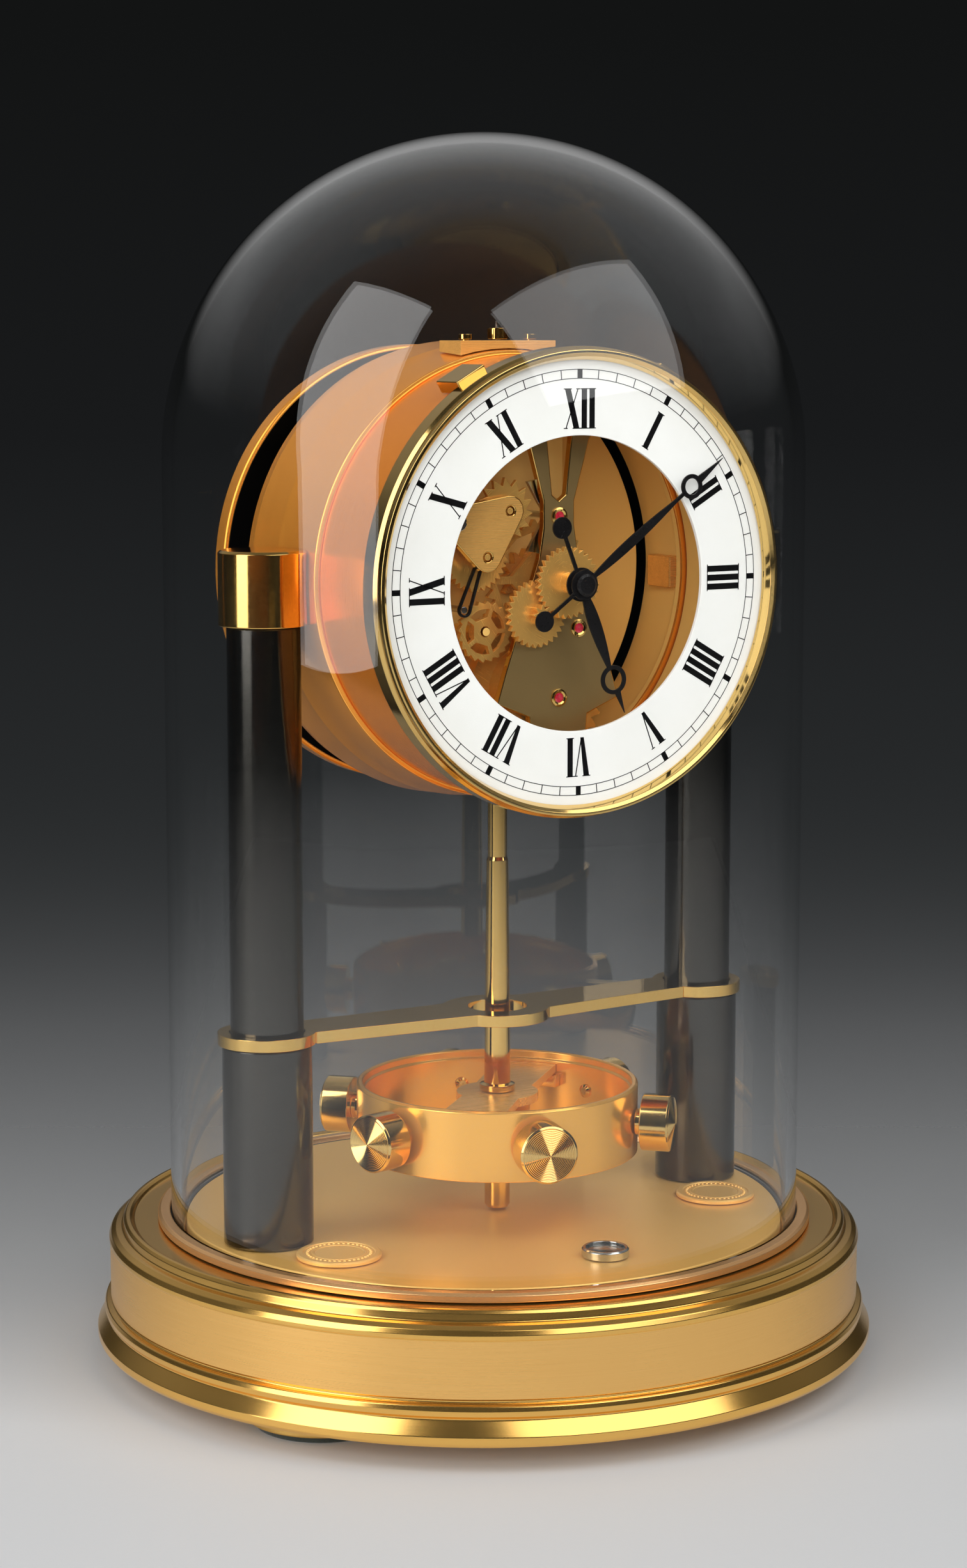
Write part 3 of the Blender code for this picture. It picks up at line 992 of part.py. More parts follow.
def build_pendulum():
    spot = (0, PENDULUM_Y, 0)
    axis = pivot("balance_axis", spot)
    flange = CROSSBAR_TOP + GAP
    foot = flange + 1.8 * MM
    roller = TUBE_TOP - 5 * MM
    tube = [
        (0, flange), (TUBE_FOOT_RADIUS + 1.1 * MM, flange), (TUBE_FOOT_RADIUS + 1.1 * MM, foot - 0.3 * MM),
        (TUBE_FOOT_RADIUS, foot), (TUBE_RADIUS + 0.3 * MM, TUBE_STEP - 0.8 * MM), (TUBE_RADIUS, TUBE_STEP),
        (TUBE_RADIUS, roller), (ROLLER_RADIUS, roller), (ROLLER_RADIUS, roller + 2 * MM),
        (TUBE_RADIUS, roller + 2 * MM), (TUBE_RADIUS, TUBE_TOP), (TUBE_BORE, TUBE_TOP),
        (TUBE_BORE, CROSSBAR_TOP + 5 * MM), (0, CROSSBAR_TOP + 5 * MM),
    ]
    turned("balance_tube", tube, POLISHED_BRASS, at=spot, steps=14, parent=axis)

    spigot = TUBE_FOOT_RADIUS - 1 * MM
    crossbar_low = CROSSBAR_TOP - CROSSBAR_THICKNESS
    high = crossbar_low - GAP
    low = high - HUB_FLANGE_HEIGHT
    end = DECK_HEIGHT + HUB_CLEARANCE
    hub = [
        (0, end), (HUB_RADIUS - 0.6 * MM, end), (HUB_RADIUS, end + 0.8 * MM), (HUB_RADIUS, low - 1.5 * MM),
        (HUB_RADIUS + 1.5 * MM, low), (HUB_FLANGE_RADIUS, low), (HUB_FLANGE_RADIUS, high), (spigot, high),
        (spigot, CROSSBAR_TOP), (0, CROSSBAR_TOP),
    ]
    turned("balance_hub", hub, POLISHED_BRASS, at=spot, steps=16, parent=axis)

    inner = RING_RADIUS - RING_WALL
    high = RING_BOTTOM + RING_HEIGHT
    ledge = CROSSBAR_TOP - CROSSBAR_THICKNESS - GAP
    ring = [
        (inner, RING_BOTTOM), (RING_RADIUS, RING_BOTTOM), (RING_RADIUS, high - 0.5 * MM),
        (RING_RADIUS - 0.5 * MM, high),
        (inner, high), (inner, ledge), (inner - 2.6 * MM, ledge), (inner - 2.6 * MM, ledge - 3 * MM),
        (inner, ledge - 5 * MM),
    ]
    turned("balance_ring", ring, POLISHED_BRASS, at=spot, steps=36, parent=axis)

    reach = inner - GAP
    spread = math.asin(1.1 * CROSSBAR_HALF_WIDTH / reach)
    neck = math.asin(CROSSBAR_HALF_WIDTH / CROSSBAR_HUB)
    half = arc((0, 0), reach, -spread, spread, 4) + arc((0, 0), CROSSBAR_HUB, neck, math.pi - neck, 6)
    outline = half + [(-x, -y) for x, y in half]
    plate("balance_crossbar", outline, [circle(spigot + FINE_GAP, 16)],
          CROSSBAR_TOP - CROSSBAR_THICKNESS, CROSSBAR_TOP, POLISHED_BRASS,
          at=spot, turn=(0, 0, CROSSBAR_ANGLE), parent=axis)

    length, big, small = WEIGHT_LENGTH, WEIGHT_RADIUS, WEIGHT_NECK_RADIUS
    weight = [
        (0, 0), (small, 0), (small, 1.8 * MM), (big, 1.8 * MM), (big, length - 0.7 * MM),
        (big - 0.5 * MM, length - 0.3 * MM), (0, length + 0.5 * MM),
    ]
    for index in range(WEIGHT_COUNT):
        angle = WEIGHT_ANGLE + math.tau * index / WEIGHT_COUNT
        x, y = polar(RING_RADIUS + GAP, angle)
        centre = (x, PENDULUM_Y + y, RING_BOTTOM + RING_HEIGHT / 2)
        turned(f"balance_weight_{index + 1}", weight, POLISHED_BRASS, at=centre,
               turn=(0, math.pi / 2, angle), steps=14, parent=axis)


build_base()
build_feet()
build_dome()
build_columns()
build_strap()
build_level()
build_drum()
build_bellows()
build_suspension()
build_dial()
build_plates()
centre_pivot = pivot("centre_axis", forward_place())
hour_pivot = pivot("hour_axis", forward_place())
build_hands(hour_pivot, centre_pivot)
build_train(centre_pivot)
build_lever()
build_motion_work(hour_pivot, centre_pivot)
build_winding()
build_pendulum()
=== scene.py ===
from math import asin, atan2, cos, hypot, pi, radians, sin, sqrt, tan

import bmesh
import bpy
from mathutils import Matrix, Vector


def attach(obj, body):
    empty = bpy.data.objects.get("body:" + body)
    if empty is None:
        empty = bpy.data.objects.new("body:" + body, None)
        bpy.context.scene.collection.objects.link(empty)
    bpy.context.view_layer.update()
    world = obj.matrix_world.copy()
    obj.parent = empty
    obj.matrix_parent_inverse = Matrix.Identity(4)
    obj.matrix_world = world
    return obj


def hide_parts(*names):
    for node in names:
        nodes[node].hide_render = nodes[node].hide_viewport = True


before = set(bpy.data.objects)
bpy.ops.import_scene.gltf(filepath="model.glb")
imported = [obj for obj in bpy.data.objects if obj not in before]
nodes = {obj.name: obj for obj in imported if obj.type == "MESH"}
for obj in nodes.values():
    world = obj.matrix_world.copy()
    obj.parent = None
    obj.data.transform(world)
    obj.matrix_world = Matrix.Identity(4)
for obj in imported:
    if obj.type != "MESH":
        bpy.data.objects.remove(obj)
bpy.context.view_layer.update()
scene = bpy.context.scene
mm = 0.001
dialHeight = 192.2  # z of the dial's centre, mm
pendulumY = -6.5    # y of the torsion wire, mm
sides = ((-1, "left"), (1, "right"))
facets = 176        # of the large rings
print("frame loaded:", len(nodes), "solids")

# shader helpers: a wire is one output socket, and sums on wires add Math nodes

def sums(operation, reflected=False):
    def method(self, other):
        first, second = (other, self) if reflected else (self, other)
        return self.paint.node("ShaderNodeMath", {0: first, 1: second}, {"operation": operation})
    return method

class Wire:
    def __init__(self, paint, socket):
        self.paint = paint
        self.socket = socket

    __add__, __radd__ = sums("ADD"), sums("ADD", True)
    __sub__, __rsub__ = sums("SUBTRACT"), sums("SUBTRACT", True)
    __mul__, __rmul__ = sums("MULTIPLY"), sums("MULTIPLY", True)
    __truediv__, __rtruediv__ = sums("DIVIDE"), sums("DIVIDE", True)
    __pow__, __rpow__ = sums("POWER"), sums("POWER", True)
    __gt__, __lt__ = sums("GREATER_THAN"), sums("LESS_THAN")

class Paint:
    def __init__(self, name, tree=None):
        self.material = None
        if tree is None:
            self.material = bpy.data.materials.new(name)
            self.material.use_nodes = True
            tree = self.material.node_tree
        self.tree = tree
        self.tree.nodes.clear()
        self.axes = None

    def node(self, kind, sockets=None, settings=None, output=0):
        made = self.tree.nodes.new(kind)
        for key, value in (settings or {}).items():
            if key == "stops":
                ramp = made.color_ramp
                while len(ramp.elements) < len(value):
                    ramp.elements.new(0.5)
                for stop, (where, colour) in zip(ramp.elements, value):
                    stop.position = where
                    stop.color = colour
            else:
                setattr(made, key, value)
        for key, value in (sockets or {}).items():
            if isinstance(value, Wire):
                self.tree.links.new(value.socket, made.inputs[key])
            else:
                made.inputs[key].default_value = value
        return Wire(self, made.outputs[output]) if made.outputs else None

    def outputs(self, wire):
        return [Wire(self, socket) for socket in wire.socket.node.outputs]

    def place(self):
        if self.axes is None:
            spot = self.node("ShaderNodeTexCoord", output="Object")
            self.axes = self.outputs(self.node("ShaderNodeSeparateXYZ", {0: spot}))
        return self.axes

    def noise(self, x, y, z, w=0.0, detail=2.0):
        spot = self.node("ShaderNodeCombineXYZ", {0: x, 1: y, 2: z})
        return self.node("ShaderNodeTexNoise", {"Vector": spot, "W": w, "Scale": 1.0, "Detail": detail},
                         {"noise_dimensions": "4D"})

    def cloud(self, scale, detail=3.0, seed=0.0):
        x, y, z = self.place()
        return self.noise(x * scale, y * scale, z * scale, seed, detail)

    def remap(self, value, low, high, toLow=0.0, toHigh=1.0):
        return self.node("ShaderNodeMapRange", {0: value, 1: low, 2: high, 3: toLow, 4: toHigh},
                         {"clamp": True})

    def blend(self, factor, first, second):
        return self.node("ShaderNodeMix", {0: factor, 6: first, 7: second}, {"data_type": "RGBA"}, 2)

    def tinted(self, value, low, high, first, second):
        return self.blend(self.remap(value, low, high), tint(*first), tint(*second))

    def either(self, factor, first, second):
        return self.node("ShaderNodeMixShader", {0: factor, 1: first, 2: second})

    def bump(self, height, strength, distance):
        return self.node("ShaderNodeBump", {"Height": height, "Strength": strength, "Distance": distance})

    def surface(self, sockets):
        return self.end(self.node("ShaderNodeBsdfPrincipled", sockets))

    def end(self, shader, kind="ShaderNodeOutputMaterial"):
        self.node(kind, {0: shader})
        return self.material

def tint(red, green, blue):
    # 0-255 as seen on screen, to linear light
    def linear(value):
        value /= 255
        return value / 12.92 if value <= 0.04045 else ((value + 0.055) / 1.055) ** 2.4
    return (linear(red), linear(green), linear(blue), 1.0)

# brushing directions, each gives a fine and a broad streak

brushing = {"streaks": (16000, 6000), "roundabout": 4.0, "alongX": 14.0, "alongZ": 6.0}  # waves per metre

def spun(paint, u, v, axis):
    radius = (u * u + v * v + 1e-9) ** 0.5
    turn = brushing["roundabout"]
    return [paint.noise(radius * fine, u / radius * turn, v / radius * turn, axis * fine)
            for fine in brushing["streaks"]]

def roundZ(centreY=0.0):
    def grain(paint):
        x, y, z = paint.place()
        return spun(paint, x, y - centreY * mm, z)
    return grain

def roundY(paint):
    x, y, z = paint.place()
    return spun(paint, x, z - dialHeight * mm, y)

def alongX(paint):
    x, y, z = paint.place()
    return [paint.noise(x * brushing["alongX"], y * fine, z * fine) for fine in brushing["streaks"]]

def alongZ(paint):
    x, y, z = paint.place()
    return [paint.noise(x * fine, y * fine, z * brushing["alongZ"]) for fine in brushing["streaks"]]

def anyWay(fine, broad):
    def grain(paint):
        return [paint.cloud(fine), paint.cloud(broad, seed=3.0)]
    return grain

def metal(name, light, dark, grain, rough, relief=0.0, metallic=1.0, smear=0.03):
    # two colours, brushing, least and most roughness, depth of the brushing, dulling by smears
    paint = Paint(name)
    fine, broad = grain(paint)
    smudge = paint.cloud(34, 4.0, 7.0)
    sockets = {
        "Base Color": paint.tinted(fine * 0.7 + broad * 0.3, 0.25, 0.75, dark, light),
        "Metallic": metallic,
        "Roughness": paint.remap(fine, 0.3, 0.7, *rough) + paint.remap(smudge, 0.45, 0.75, 0.0, smear),
    }
    if relief:
        sockets["Normal"] = paint.bump(fine, relief, 0.00004)
    return paint.surface(sockets)

# polished finishes
buffed = anyWay(1500, 90)
polishedBrass = metal("polishedBrass", (244, 204, 122), (238, 192, 106), buffed, (0.06, 0.11), smear=0.05)
mouldingBrass = metal("mouldingBrass", (250, 195, 106), (242, 194, 104), roundZ(), (0.15, 0.19), 0.0, 0.94)
dialBrass = metal("dialBrass", (244, 208, 132), (236, 194, 114), roundY, (0.07, 0.12), smear=0.05)
weightBrass = metal("weightBrass", (244, 208, 134), (236, 196, 118), buffed, (0.10, 0.14))
gunmetal = metal("gunmetal", (84, 82, 78), (78, 76, 72), alongZ, (0.12, 0.16), 0.02)
steel = metal("steel", (220, 220, 218), (200, 200, 198), anyWay(900, 120), (0.10, 0.20), 0.03, smear=0.08)
# brushed and satin finishes, most with a little soft scatter; two of them paint light and shade inside the
# drum
bandBrass = metal("bandBrass", (255, 204, 124), (246, 190, 108), roundZ(), (0.26, 0.34), 0.15, 0.88)
deckBrass = metal("deckBrass", (255, 207, 122), (249, 196, 110), alongX, (0.36, 0.44), 0.05, 0.62)
drumBrass = metal("drumBrass", (255, 172, 72), (249, 160, 60), roundY, (0.20, 0.26), 0.05, 0.76)
casingCopper = metal("casingCopper", (255, 158, 60), (250, 146, 50), roundY, (0.20, 0.26), 0.05, 0.7)
# painted light: a lighter, almost non-metallic copy of the copper, so that the drum's inside and its plates
# look lit
insideCopper = metal("insideCopper", (255, 210, 122), (255, 202, 112), roundY, (0.28, 0.36), 0.03, 0.02)
# painted shade: near-black brass that stands for the shade in the gap between the lid and the can and deep
# inside the can
neckBrass = metal("neckBrass", (30, 24, 16), (24, 18, 12), roundY, (0.34, 0.42), 0.02)
rimCopper = metal("rimCopper", (252, 200, 140), (246, 186, 122), roundZ(), (0.18, 0.26), 0.1, 0.75)
plateBrass = metal("plateBrass", (252, 192, 106), (250, 188, 102), alongX, (0.24, 0.28), 0.005, 0.6)
frontBrass = metal("frontBrass", (182, 152, 100), (172, 142, 90), alongZ, (0.32, 0.40), 0.02, 0.88)
gearBrass = metal("gearBrass", (254, 198, 108), (248, 188, 98), roundY, (0.20, 0.27), 0.015, 0.7)
ringBrass = metal("ringBrass", (255, 194, 100), (251, 187, 93), roundZ(pendulumY), (0.17, 0.22), 0.02, 0.76)
print("metals ready")

def lacquer(name, colour, other, rough, shine=0.5):
    paint = Paint(name)
    speck = paint.cloud(2600, 2.0)
    haze = paint.cloud(60, 3.0, 5.0)
    return paint.surface({
        "Base Color": paint.tinted(haze, 0.35, 0.65, colour, other),
        "Roughness": paint.remap(speck, 0.3, 0.7, *rough),
        "Normal": paint.bump(speck, 0.05, 0.00002),
        "Specular IOR Level": shine,
    })

whiteEnamel = lacquer("whiteEnamel", (244, 244, 241), (240, 240, 236), (0.28, 0.40))
blackLacquer = lacquer("blackLacquer", (14, 13, 14), (22, 21, 22), (0.26, 0.36), 0.25)
dialInk = lacquer("dialInk", (8, 8, 9), (14, 14, 15), (0.55, 0.65), 0.08)

def clearGlass(name, colour, edge):
    # lets the lamps through, so that what stands inside is lit and shaded
    paint = Paint(name)
    film = paint.cloud(22, 3.0)
    body = paint.node("ShaderNodeBsdfPrincipled", {
        "Base Color": colour,
        "Roughness": paint.remap(film, 0.4, 0.7, 0.0, edge),
        "IOR": 1.4,
        "Transmission Weight": 1.0,
    })
    clear = paint.node("ShaderNodeBsdfTransparent", {"Color": (0.97, 0.975, 0.97, 1.0)})
    shadow = paint.node("ShaderNodeLightPath", output="Is Shadow Ray")
    return paint.end(paint.either(shadow, body, clear))

domeGlass = clearGlass("domeGlass", (0.99, 0.993, 0.99, 1.0), 0.004)
vialGlass = clearGlass("vialGlass", (0.93, 0.95, 0.93, 1.0), 0.03)

def softStuff(name, colour, other, scale, relief, sheen):
    paint = Paint(name)
    fibre = paint.cloud(scale, 4.0)
    return paint.surface({
        "Base Color": paint.tinted(fibre, 0.3, 0.7, colour, other),
        "Roughness": paint.remap(fibre, 0.3, 0.7, 0.75, 0.95),
        "Normal": paint.bump(fibre, relief, 0.0002),
        "Sheen Weight": sheen,
    })

blackRubber = softStuff("blackRubber", (30, 30, 30), (48, 47, 46), 900, 0.2, 0.0)
darkFelt = softStuff("darkFelt", (34, 40, 36), (60, 66, 60), 2600, 0.6, 0.4)

def gemStone(name, colour, other):
    paint = Paint(name)
    inside = paint.cloud(700, 2.0)
    return paint.surface({
        "Base Color": paint.tinted(inside, 0.35, 0.65, colour, other),
        "Roughness": paint.remap(inside, 0.3, 0.7, 0.03, 0.10),
        "IOR": 1.76,
        "Transmission Weight": 0.35,
    })

ruby = gemStone("ruby", (196, 26, 52), (226, 60, 80))
print("other finishes ready")

# mesh helpers, sizes in mm

upright = Matrix.Identity(4)
# z of a piece runs forward
facing = Matrix(((1, 0, 0, 0), (0, 0, -1, 0), (0, 1, 0, dialHeight), (0, 0, 0, 1)))
# edges that bend less than this are shaded smooth, degrees
sharpness = {"turned": 38, "flat": 30, "solid": 34, "eased": 32}
rounding = {"straight": radians(172), "share": 0.42, "hold": 0.25, "parts": 4}

def at(x, y, z=0.0):
    return Matrix.Translation((x, y, z))

def added(name, data):
    thing = bpy.data.objects.new(name, data)
    scene.collection.objects.link(thing)
    return thing

def plainMesh(name, work):
    mesh = bpy.data.meshes.new(name)
    work.to_mesh(mesh)
    work.free()
    return mesh

def evaluated(holder):
    # the mesh that a holder's modifiers give; the holder goes
    graph = bpy.context.evaluated_depsgraph_get()
    mesh = bpy.data.meshes.new_from_object(holder.evaluated_get(graph))
    bpy.data.objects.remove(holder)
    return mesh

def ringShape(inner, outer, low, high):
    return ((inner, low), (outer, low), (outer, high), (inner, high))

def circle(x, y, radius, count=48):
    angles = [2 * pi * k / count for k in range(count)]
    return [(x + radius * cos(angle), y + radius * sin(angle)) for angle in angles]

def softened(outline, radius):
    # corners become curves, and long straight runs get a point that holds them straight
    soft = []
    parts, share = rounding["parts"], rounding["share"]
    for i, corner in enumerate(outline):
        here = Vector(corner)
        back = Vector(outline[i - 1]) - here
        ahead = Vector(outline[(i + 1) % len(outline)]) - here
        bend = back.angle(ahead)
        if here.x < 1e-6 or bend > rounding["straight"]:
            soft.append(here)
            continue
        reach = min(radius / tan(bend / 2), share * back.length, share * ahead.length)
        start, end = here + back.normalized() * reach, here + ahead.normalized() * reach
        hold = rounding["hold"] * reach
        if back.length > 3 * reach:
            soft.append(start + back.normalized() * hold)
        for k in range(parts + 1):
            t = k / parts
            soft.append((1 - t) ** 2 * start + 2 * t * (1 - t) * here + t * t * end)
        if ahead.length > 3 * reach:
            soft.append(end + ahead.normalized() * hold)
    return soft

def smoothed(mesh, sharp):
    mesh.shade_smooth()
    mesh.set_sharp_from_angle(angle=radians(sharp))
    return mesh

def closeMesh(name, work, sharp=sharpness["turned"]):
    bmesh.ops.remove_doubles(work, verts=work.verts, dist=1e-7)
    bmesh.ops.recalc_face_normals(work, faces=work.faces)
    return smoothed(plainMesh(name, work), sharp)

def lathe(name, outline, place, steps, soft, sharp=sharpness["turned"]):
    points = softened(outline, soft) if soft else [Vector(p) for p in outline]
    work = bmesh.new()
    rings = []
    for point in points:
        turns = 1 if point.x < 1e-6 else steps
        ring = []
        for k in range(turns):
            angle = 2 * pi * k / steps
            spot = Vector((point.x * cos(angle), point.x * sin(angle), point.y))
            ring.append(work.verts.new((place @ spot) * mm))
        rings.append(ring)
    for first, second in zip(rings, rings[1:] + rings[:1]):
        if len(first) == 1 and len(second) == 1:
            continue
        for k in range(steps):
            n = (k + 1) % steps
            loop = [first[k % len(first)], first[n % len(first)],
                    second[n % len(second)], second[k % len(second)]]
            work.faces.new(list(dict.fromkeys(loop)))
    return closeMesh(name, work, sharp)

def drill(x, y, radius, low, high):
    return lathe("hole", ringShape(0, radius, low, high), at(x, y), 40, 0)

def settled(mesh, modifiers):
    # runs modifiers on a mesh and gives the result as a plain mesh
    holder = added(mesh.name + "Work", mesh)
    for kind, settings in modifiers:
        step = holder.modifiers.new(kind, kind)
        for key, value in settings.items():
            setattr(step, key, value)
    done = evaluated(holder)
    done.name = mesh.name
    return done

def eased(mesh, width, angle=sharpness["eased"]):
    return settled(mesh, [("BEVEL", {"width": width * mm, "segments": 2, "limit_method": "ANGLE",
                                     "angle_limit": radians(angle), "harden_normals": True})])

def cut(mesh, *cutters):
    helpers = [added("cutter", cutter) for cutter in cutters]
    done = settled(mesh, [("BOOLEAN", {"object": helper, "operation": "DIFFERENCE", "solver": "EXACT"})
                          for helper in helpers])
    for helper in helpers:
        bpy.data.objects.remove(helper)
    work = bmesh.new()
    work.from_mesh(done)
    return closeMesh(mesh.name, work)

def slab(name, loops, low, high, place=upright, ease=0.15):
    work = bmesh.new()
    edges = []
    for loop in loops:
        verts = [work.verts.new(Vector((x, y, low))) for x, y in loop]
        edges += [work.edges.new((a, b)) for a, b in zip(verts, verts[1:] + verts[:1])]
    bmesh.ops.triangle_fill(work, use_beauty=True, edges=edges)
    bmesh.ops.dissolve_limit(work, angle_limit=0.01, verts=work.verts, edges=work.edges)
    base = list(work.faces)
    raised = bmesh.ops.extrude_face_region(work, geom=base)
    tops = [part for part in raised["geom"] if isinstance(part, bmesh.types.BMVert)]
    bmesh.ops.translate(work, vec=(0, 0, high - low), verts=tops)
    for vert in work.verts:
        vert.co = (place @ vert.co) * mm
    mesh = closeMesh(name, work, sharpness["flat"])
    return eased(mesh, ease) if ease else mesh

def bar(name, length, width, low, high):
    half, side = length / 2, width / 2
    return slab(name, [[(-half, -side), (half, -side), (half, side), (-half, side)]], low, high, ease=0.0)

def box(work, corners, low, high, place):
    verts = [work.verts.new((place @ Vector((x, y, z))) * mm) for z in (low, high) for x, y in corners]
    for loop in ((0, 1, 2, 3), (4, 7, 6, 5), (0, 4, 5, 1), (1, 5, 6, 2), (2, 6, 7, 3), (3, 7, 4, 0)):
        work.faces.new([verts[i] for i in loop])

def refined(name, node, ease):
    # a merged copy of a solid with eased edges
    sharp = sharpness["solid"]
    work = bmesh.new()
    work.from_mesh(nodes[node].data)
    bmesh.ops.remove_doubles(work, verts=work.verts, dist=2e-6)
    bmesh.ops.dissolve_limit(work, angle_limit=radians(0.6), verts=work.verts, edges=work.edges)
    mesh = closeMesh(name, work, sharp)
    for layer in ("custom_normal", "sharp_face"):
        if layer in mesh.attributes:
            mesh.attributes.remove(mesh.attributes[layer])
    smoothed(mesh, sharp)
    return eased(mesh, ease, sharp) if ease else mesh

# pieces: each rides a body, takes its finish and may stand for solids

def piece(name, mesh, body, finish, *stands, slot=None):
    thing = added(name, mesh)
    mesh.materials.clear()
    mesh.materials.append(finish)
    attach(thing, body)
    if stands:
        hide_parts(*stands)
    return thing

def turned(name, outline, place, steps, soft, body, finish, *stands):
    return piece(name, lathe(name, outline, place, steps, soft), body, finish, *stands)

def carried(name, node, ease, body, finish, slot=None):
    return piece(name, refined(name, node, ease), body, finish, node, slot=slot)

def finishWhere(thing, finish, test):
    # a second finish on the faces that pass the test
    thing.data.materials.append(finish)
    for face in thing.data.polygons:
        if test(face):
            face.material_index = len(thing.data.materials) - 1

# geometry nodes: copies of a shape round a circle, and copies on the points of a mesh

def newTree(name, inputs):
    tree = bpy.data.node_groups.new(name, "GeometryNodeTree")
    tree.interface.new_socket("Geometry", in_out="INPUT", socket_type="NodeSocketGeometry")
    for label, kind in inputs:
        tree.interface.new_socket(label, in_out="INPUT", socket_type=kind)
    tree.interface.new_socket("Geometry", in_out="OUTPUT", socket_type="NodeSocketGeometry")
    paint = Paint(name, tree)
    return paint, {wire.socket.name: wire for wire in paint.outputs(paint.node("NodeGroupInput"))}

def endTree(paint, copies, finish):
    real = paint.node("GeometryNodeRealizeInstances", {0: copies})
    painted = paint.node("GeometryNodeSetMaterial", {"Geometry": real, "Material": finish})
    paint.node("NodeGroupOutput", {0: painted})
    return paint.tree

def ringTree():
    paint, given = newTree("roundTheCircle", [("Count", "NodeSocketInt"), ("Radius", "NodeSocketFloat"),
                                              ("Start", "NodeSocketFloat"), ("Shape", "NodeSocketObject"),
                                              ("Finish", "NodeSocketMaterial")])
    index = paint.node("GeometryNodeInputIndex")
    angle = index * (2 * pi) / given["Count"] + given["Start"]
    across, upward = [given["Radius"] * paint.node("ShaderNodeMath", {0: angle}, {"operation": operation})
                      for operation in ("COSINE", "SINE")]
    centre = paint.node("ShaderNodeCombineXYZ", {0: across, 1: upward, 2: 0.0})
    points = paint.node("GeometryNodePoints", {"Count": given["Count"], "Position": centre})
    turn = paint.node("ShaderNodeCombineXYZ", {0: 0.0, 1: 0.0, 2: angle})
    shape = paint.node("GeometryNodeObjectInfo", {"Object": given["Shape"]}, output="Geometry")
    copies = paint.node("GeometryNodeInstanceOnPoints",
                        {"Points": points, "Instance": shape, "Rotation": turn})
    return endTree(paint, copies, given["Finish"])

def spotTree():
    paint, given = newTree("onThePoints", [("Shape", "NodeSocketObject"), ("Finish", "NodeSocketMaterial")])
    points = paint.node("GeometryNodeMeshToPoints", {"Mesh": given["Geometry"]})
    shape = paint.node("GeometryNodeObjectInfo", {"Object": given["Shape"]}, output="Geometry")
    copies = paint.node("GeometryNodeInstanceOnPoints", {"Points": points, "Instance": shape})
    return endTree(paint, copies, given["Finish"])

roundTheCircle = ringTree()
onThePoints = spotTree()

def grown(name, tree, values, shape, place, spots=(), sharp=sharpness["turned"]):
    # runs a tree and gives a plain mesh, moved to its place
    model = added(name + "Shape", shape)
    start = bpy.data.meshes.new(name)
    start.from_pydata([Vector(spot) * mm for spot in spots], [], [])
    holder = added(name + "Work", start)
    step = holder.modifiers.new("grow", "NODES")
    step.node_group = tree
    values = dict(values, Shape=model)
    for item in tree.interface.items_tree:
        if item.in_out == "INPUT" and item.name in values:
            step[item.identifier] = values[item.name]
    mesh = evaluated(holder)
    bpy.data.objects.remove(model)
    move = place.copy()
    move.translation *= mm
    mesh.transform(move)
    mesh.name = name
    return smoothed(mesh, sharp)

def ringed(name, shape, count, radius, start, place, body, finish, *stands, sharp=sharpness["turned"]):
    values = {"Count": count, "Radius": radius * mm, "Start": radians(start), "Finish": finish}
    mesh = grown(name, roundTheCircle, values, shape, place, sharp=sharp)
    return piece(name, mesh, body, finish, *stands)

def spotted(name, shape, spots, depth, finish):
    points = [(x, y, depth) for x, y in spots]
    mesh = grown(name, onThePoints, {"Finish": finish}, shape, facing, points)
    return piece(name, mesh, "clock", finish)

# camera at the photograph's angle, soft boxes left and above, pale floor

view = {
    "spot": (-0.4076, -0.6856, 0.2543), "pitch": 90 - 8.11, "turn": -30.73, "lens": 76.29, "sensor": 36,
    "aim": (0.0, 0.0, 0.15),
    "lamps": (
        # azimuth and height as seen from the clock, distance, width, height, brightness, seen in gloss
        ("leftBox", -82, 26, 1.45, 0.85, 1.75, 3.2, True),
        ("topBox", 20, 44, 1.5, 1.5, 1.1, 2.15, True),
        ("frontFill", -36, 14, 1.6, 1.0, 0.9, 5.6, False),
    ),
    # backdrop from under the horizon to straight up, as (share, grey)
    "wall": ((0.0, tint(60, 62, 64)), (0.11, tint(42, 44, 45)), (0.22, tint(25, 26, 27)),
             (0.32, tint(19, 20, 20)), (1.0, tint(24, 24, 25))),
    "fillFrom": (0.35, 0.75, 0.55), "fill": 0.3,
    "floorReach": 1.2, "floorEdge": (0.4, 1.152), "floorColour": tint(216, 217, 218),
    "floorFade": (-0.06, 0.17),  # where it starts to fade behind the clock, and the depth that halves it
}

def placeCamera():
    eye = bpy.data.cameras.new("eye")
    eye.lens = view["lens"]
    eye.sensor_width = view["sensor"]
    camera = added("eye", eye)
    camera.location = view["spot"]
    camera.rotation_euler = (radians(view["pitch"]), 0, radians(view["turn"]))
    scene.camera = camera

def softBox(name, spot, turn, width, tall, bright):
    # a glowing panel that gloss shows, but that isn't seen straight or through the glass
    corners = [(x * width / 2, y * tall / 2, 0) for x, y in ((-1, 1), (1, 1), (1, -1), (-1, -1))]
    mesh = bpy.data.meshes.new(name)
    mesh.from_pydata([spot + turn @ Vector(corner) for corner in corners], [], [(0, 1, 2, 3)])
    panel = added(name, mesh)
    panel.visible_camera = panel.visible_shadow = False
    paint = Paint(name)
    bounces = paint.node("ShaderNodeLightPath", output="Ray Depth")
    through = paint.node("ShaderNodeLightPath", output="Transmission Depth")
    back = paint.node("ShaderNodeNewGeometry", output="Backfacing")
    clear = paint.node("ShaderNodeBsdfTransparent")
    glow = paint.node("ShaderNodeEmission", {"Strength": bright})
    shown = ((bounces - through) > 0.5) * (1.0 - back)
    mesh.materials.append(paint.end(paint.either(shown, clear, glow)))
    paint.material.cycles.emission_sampling = "FRONT"

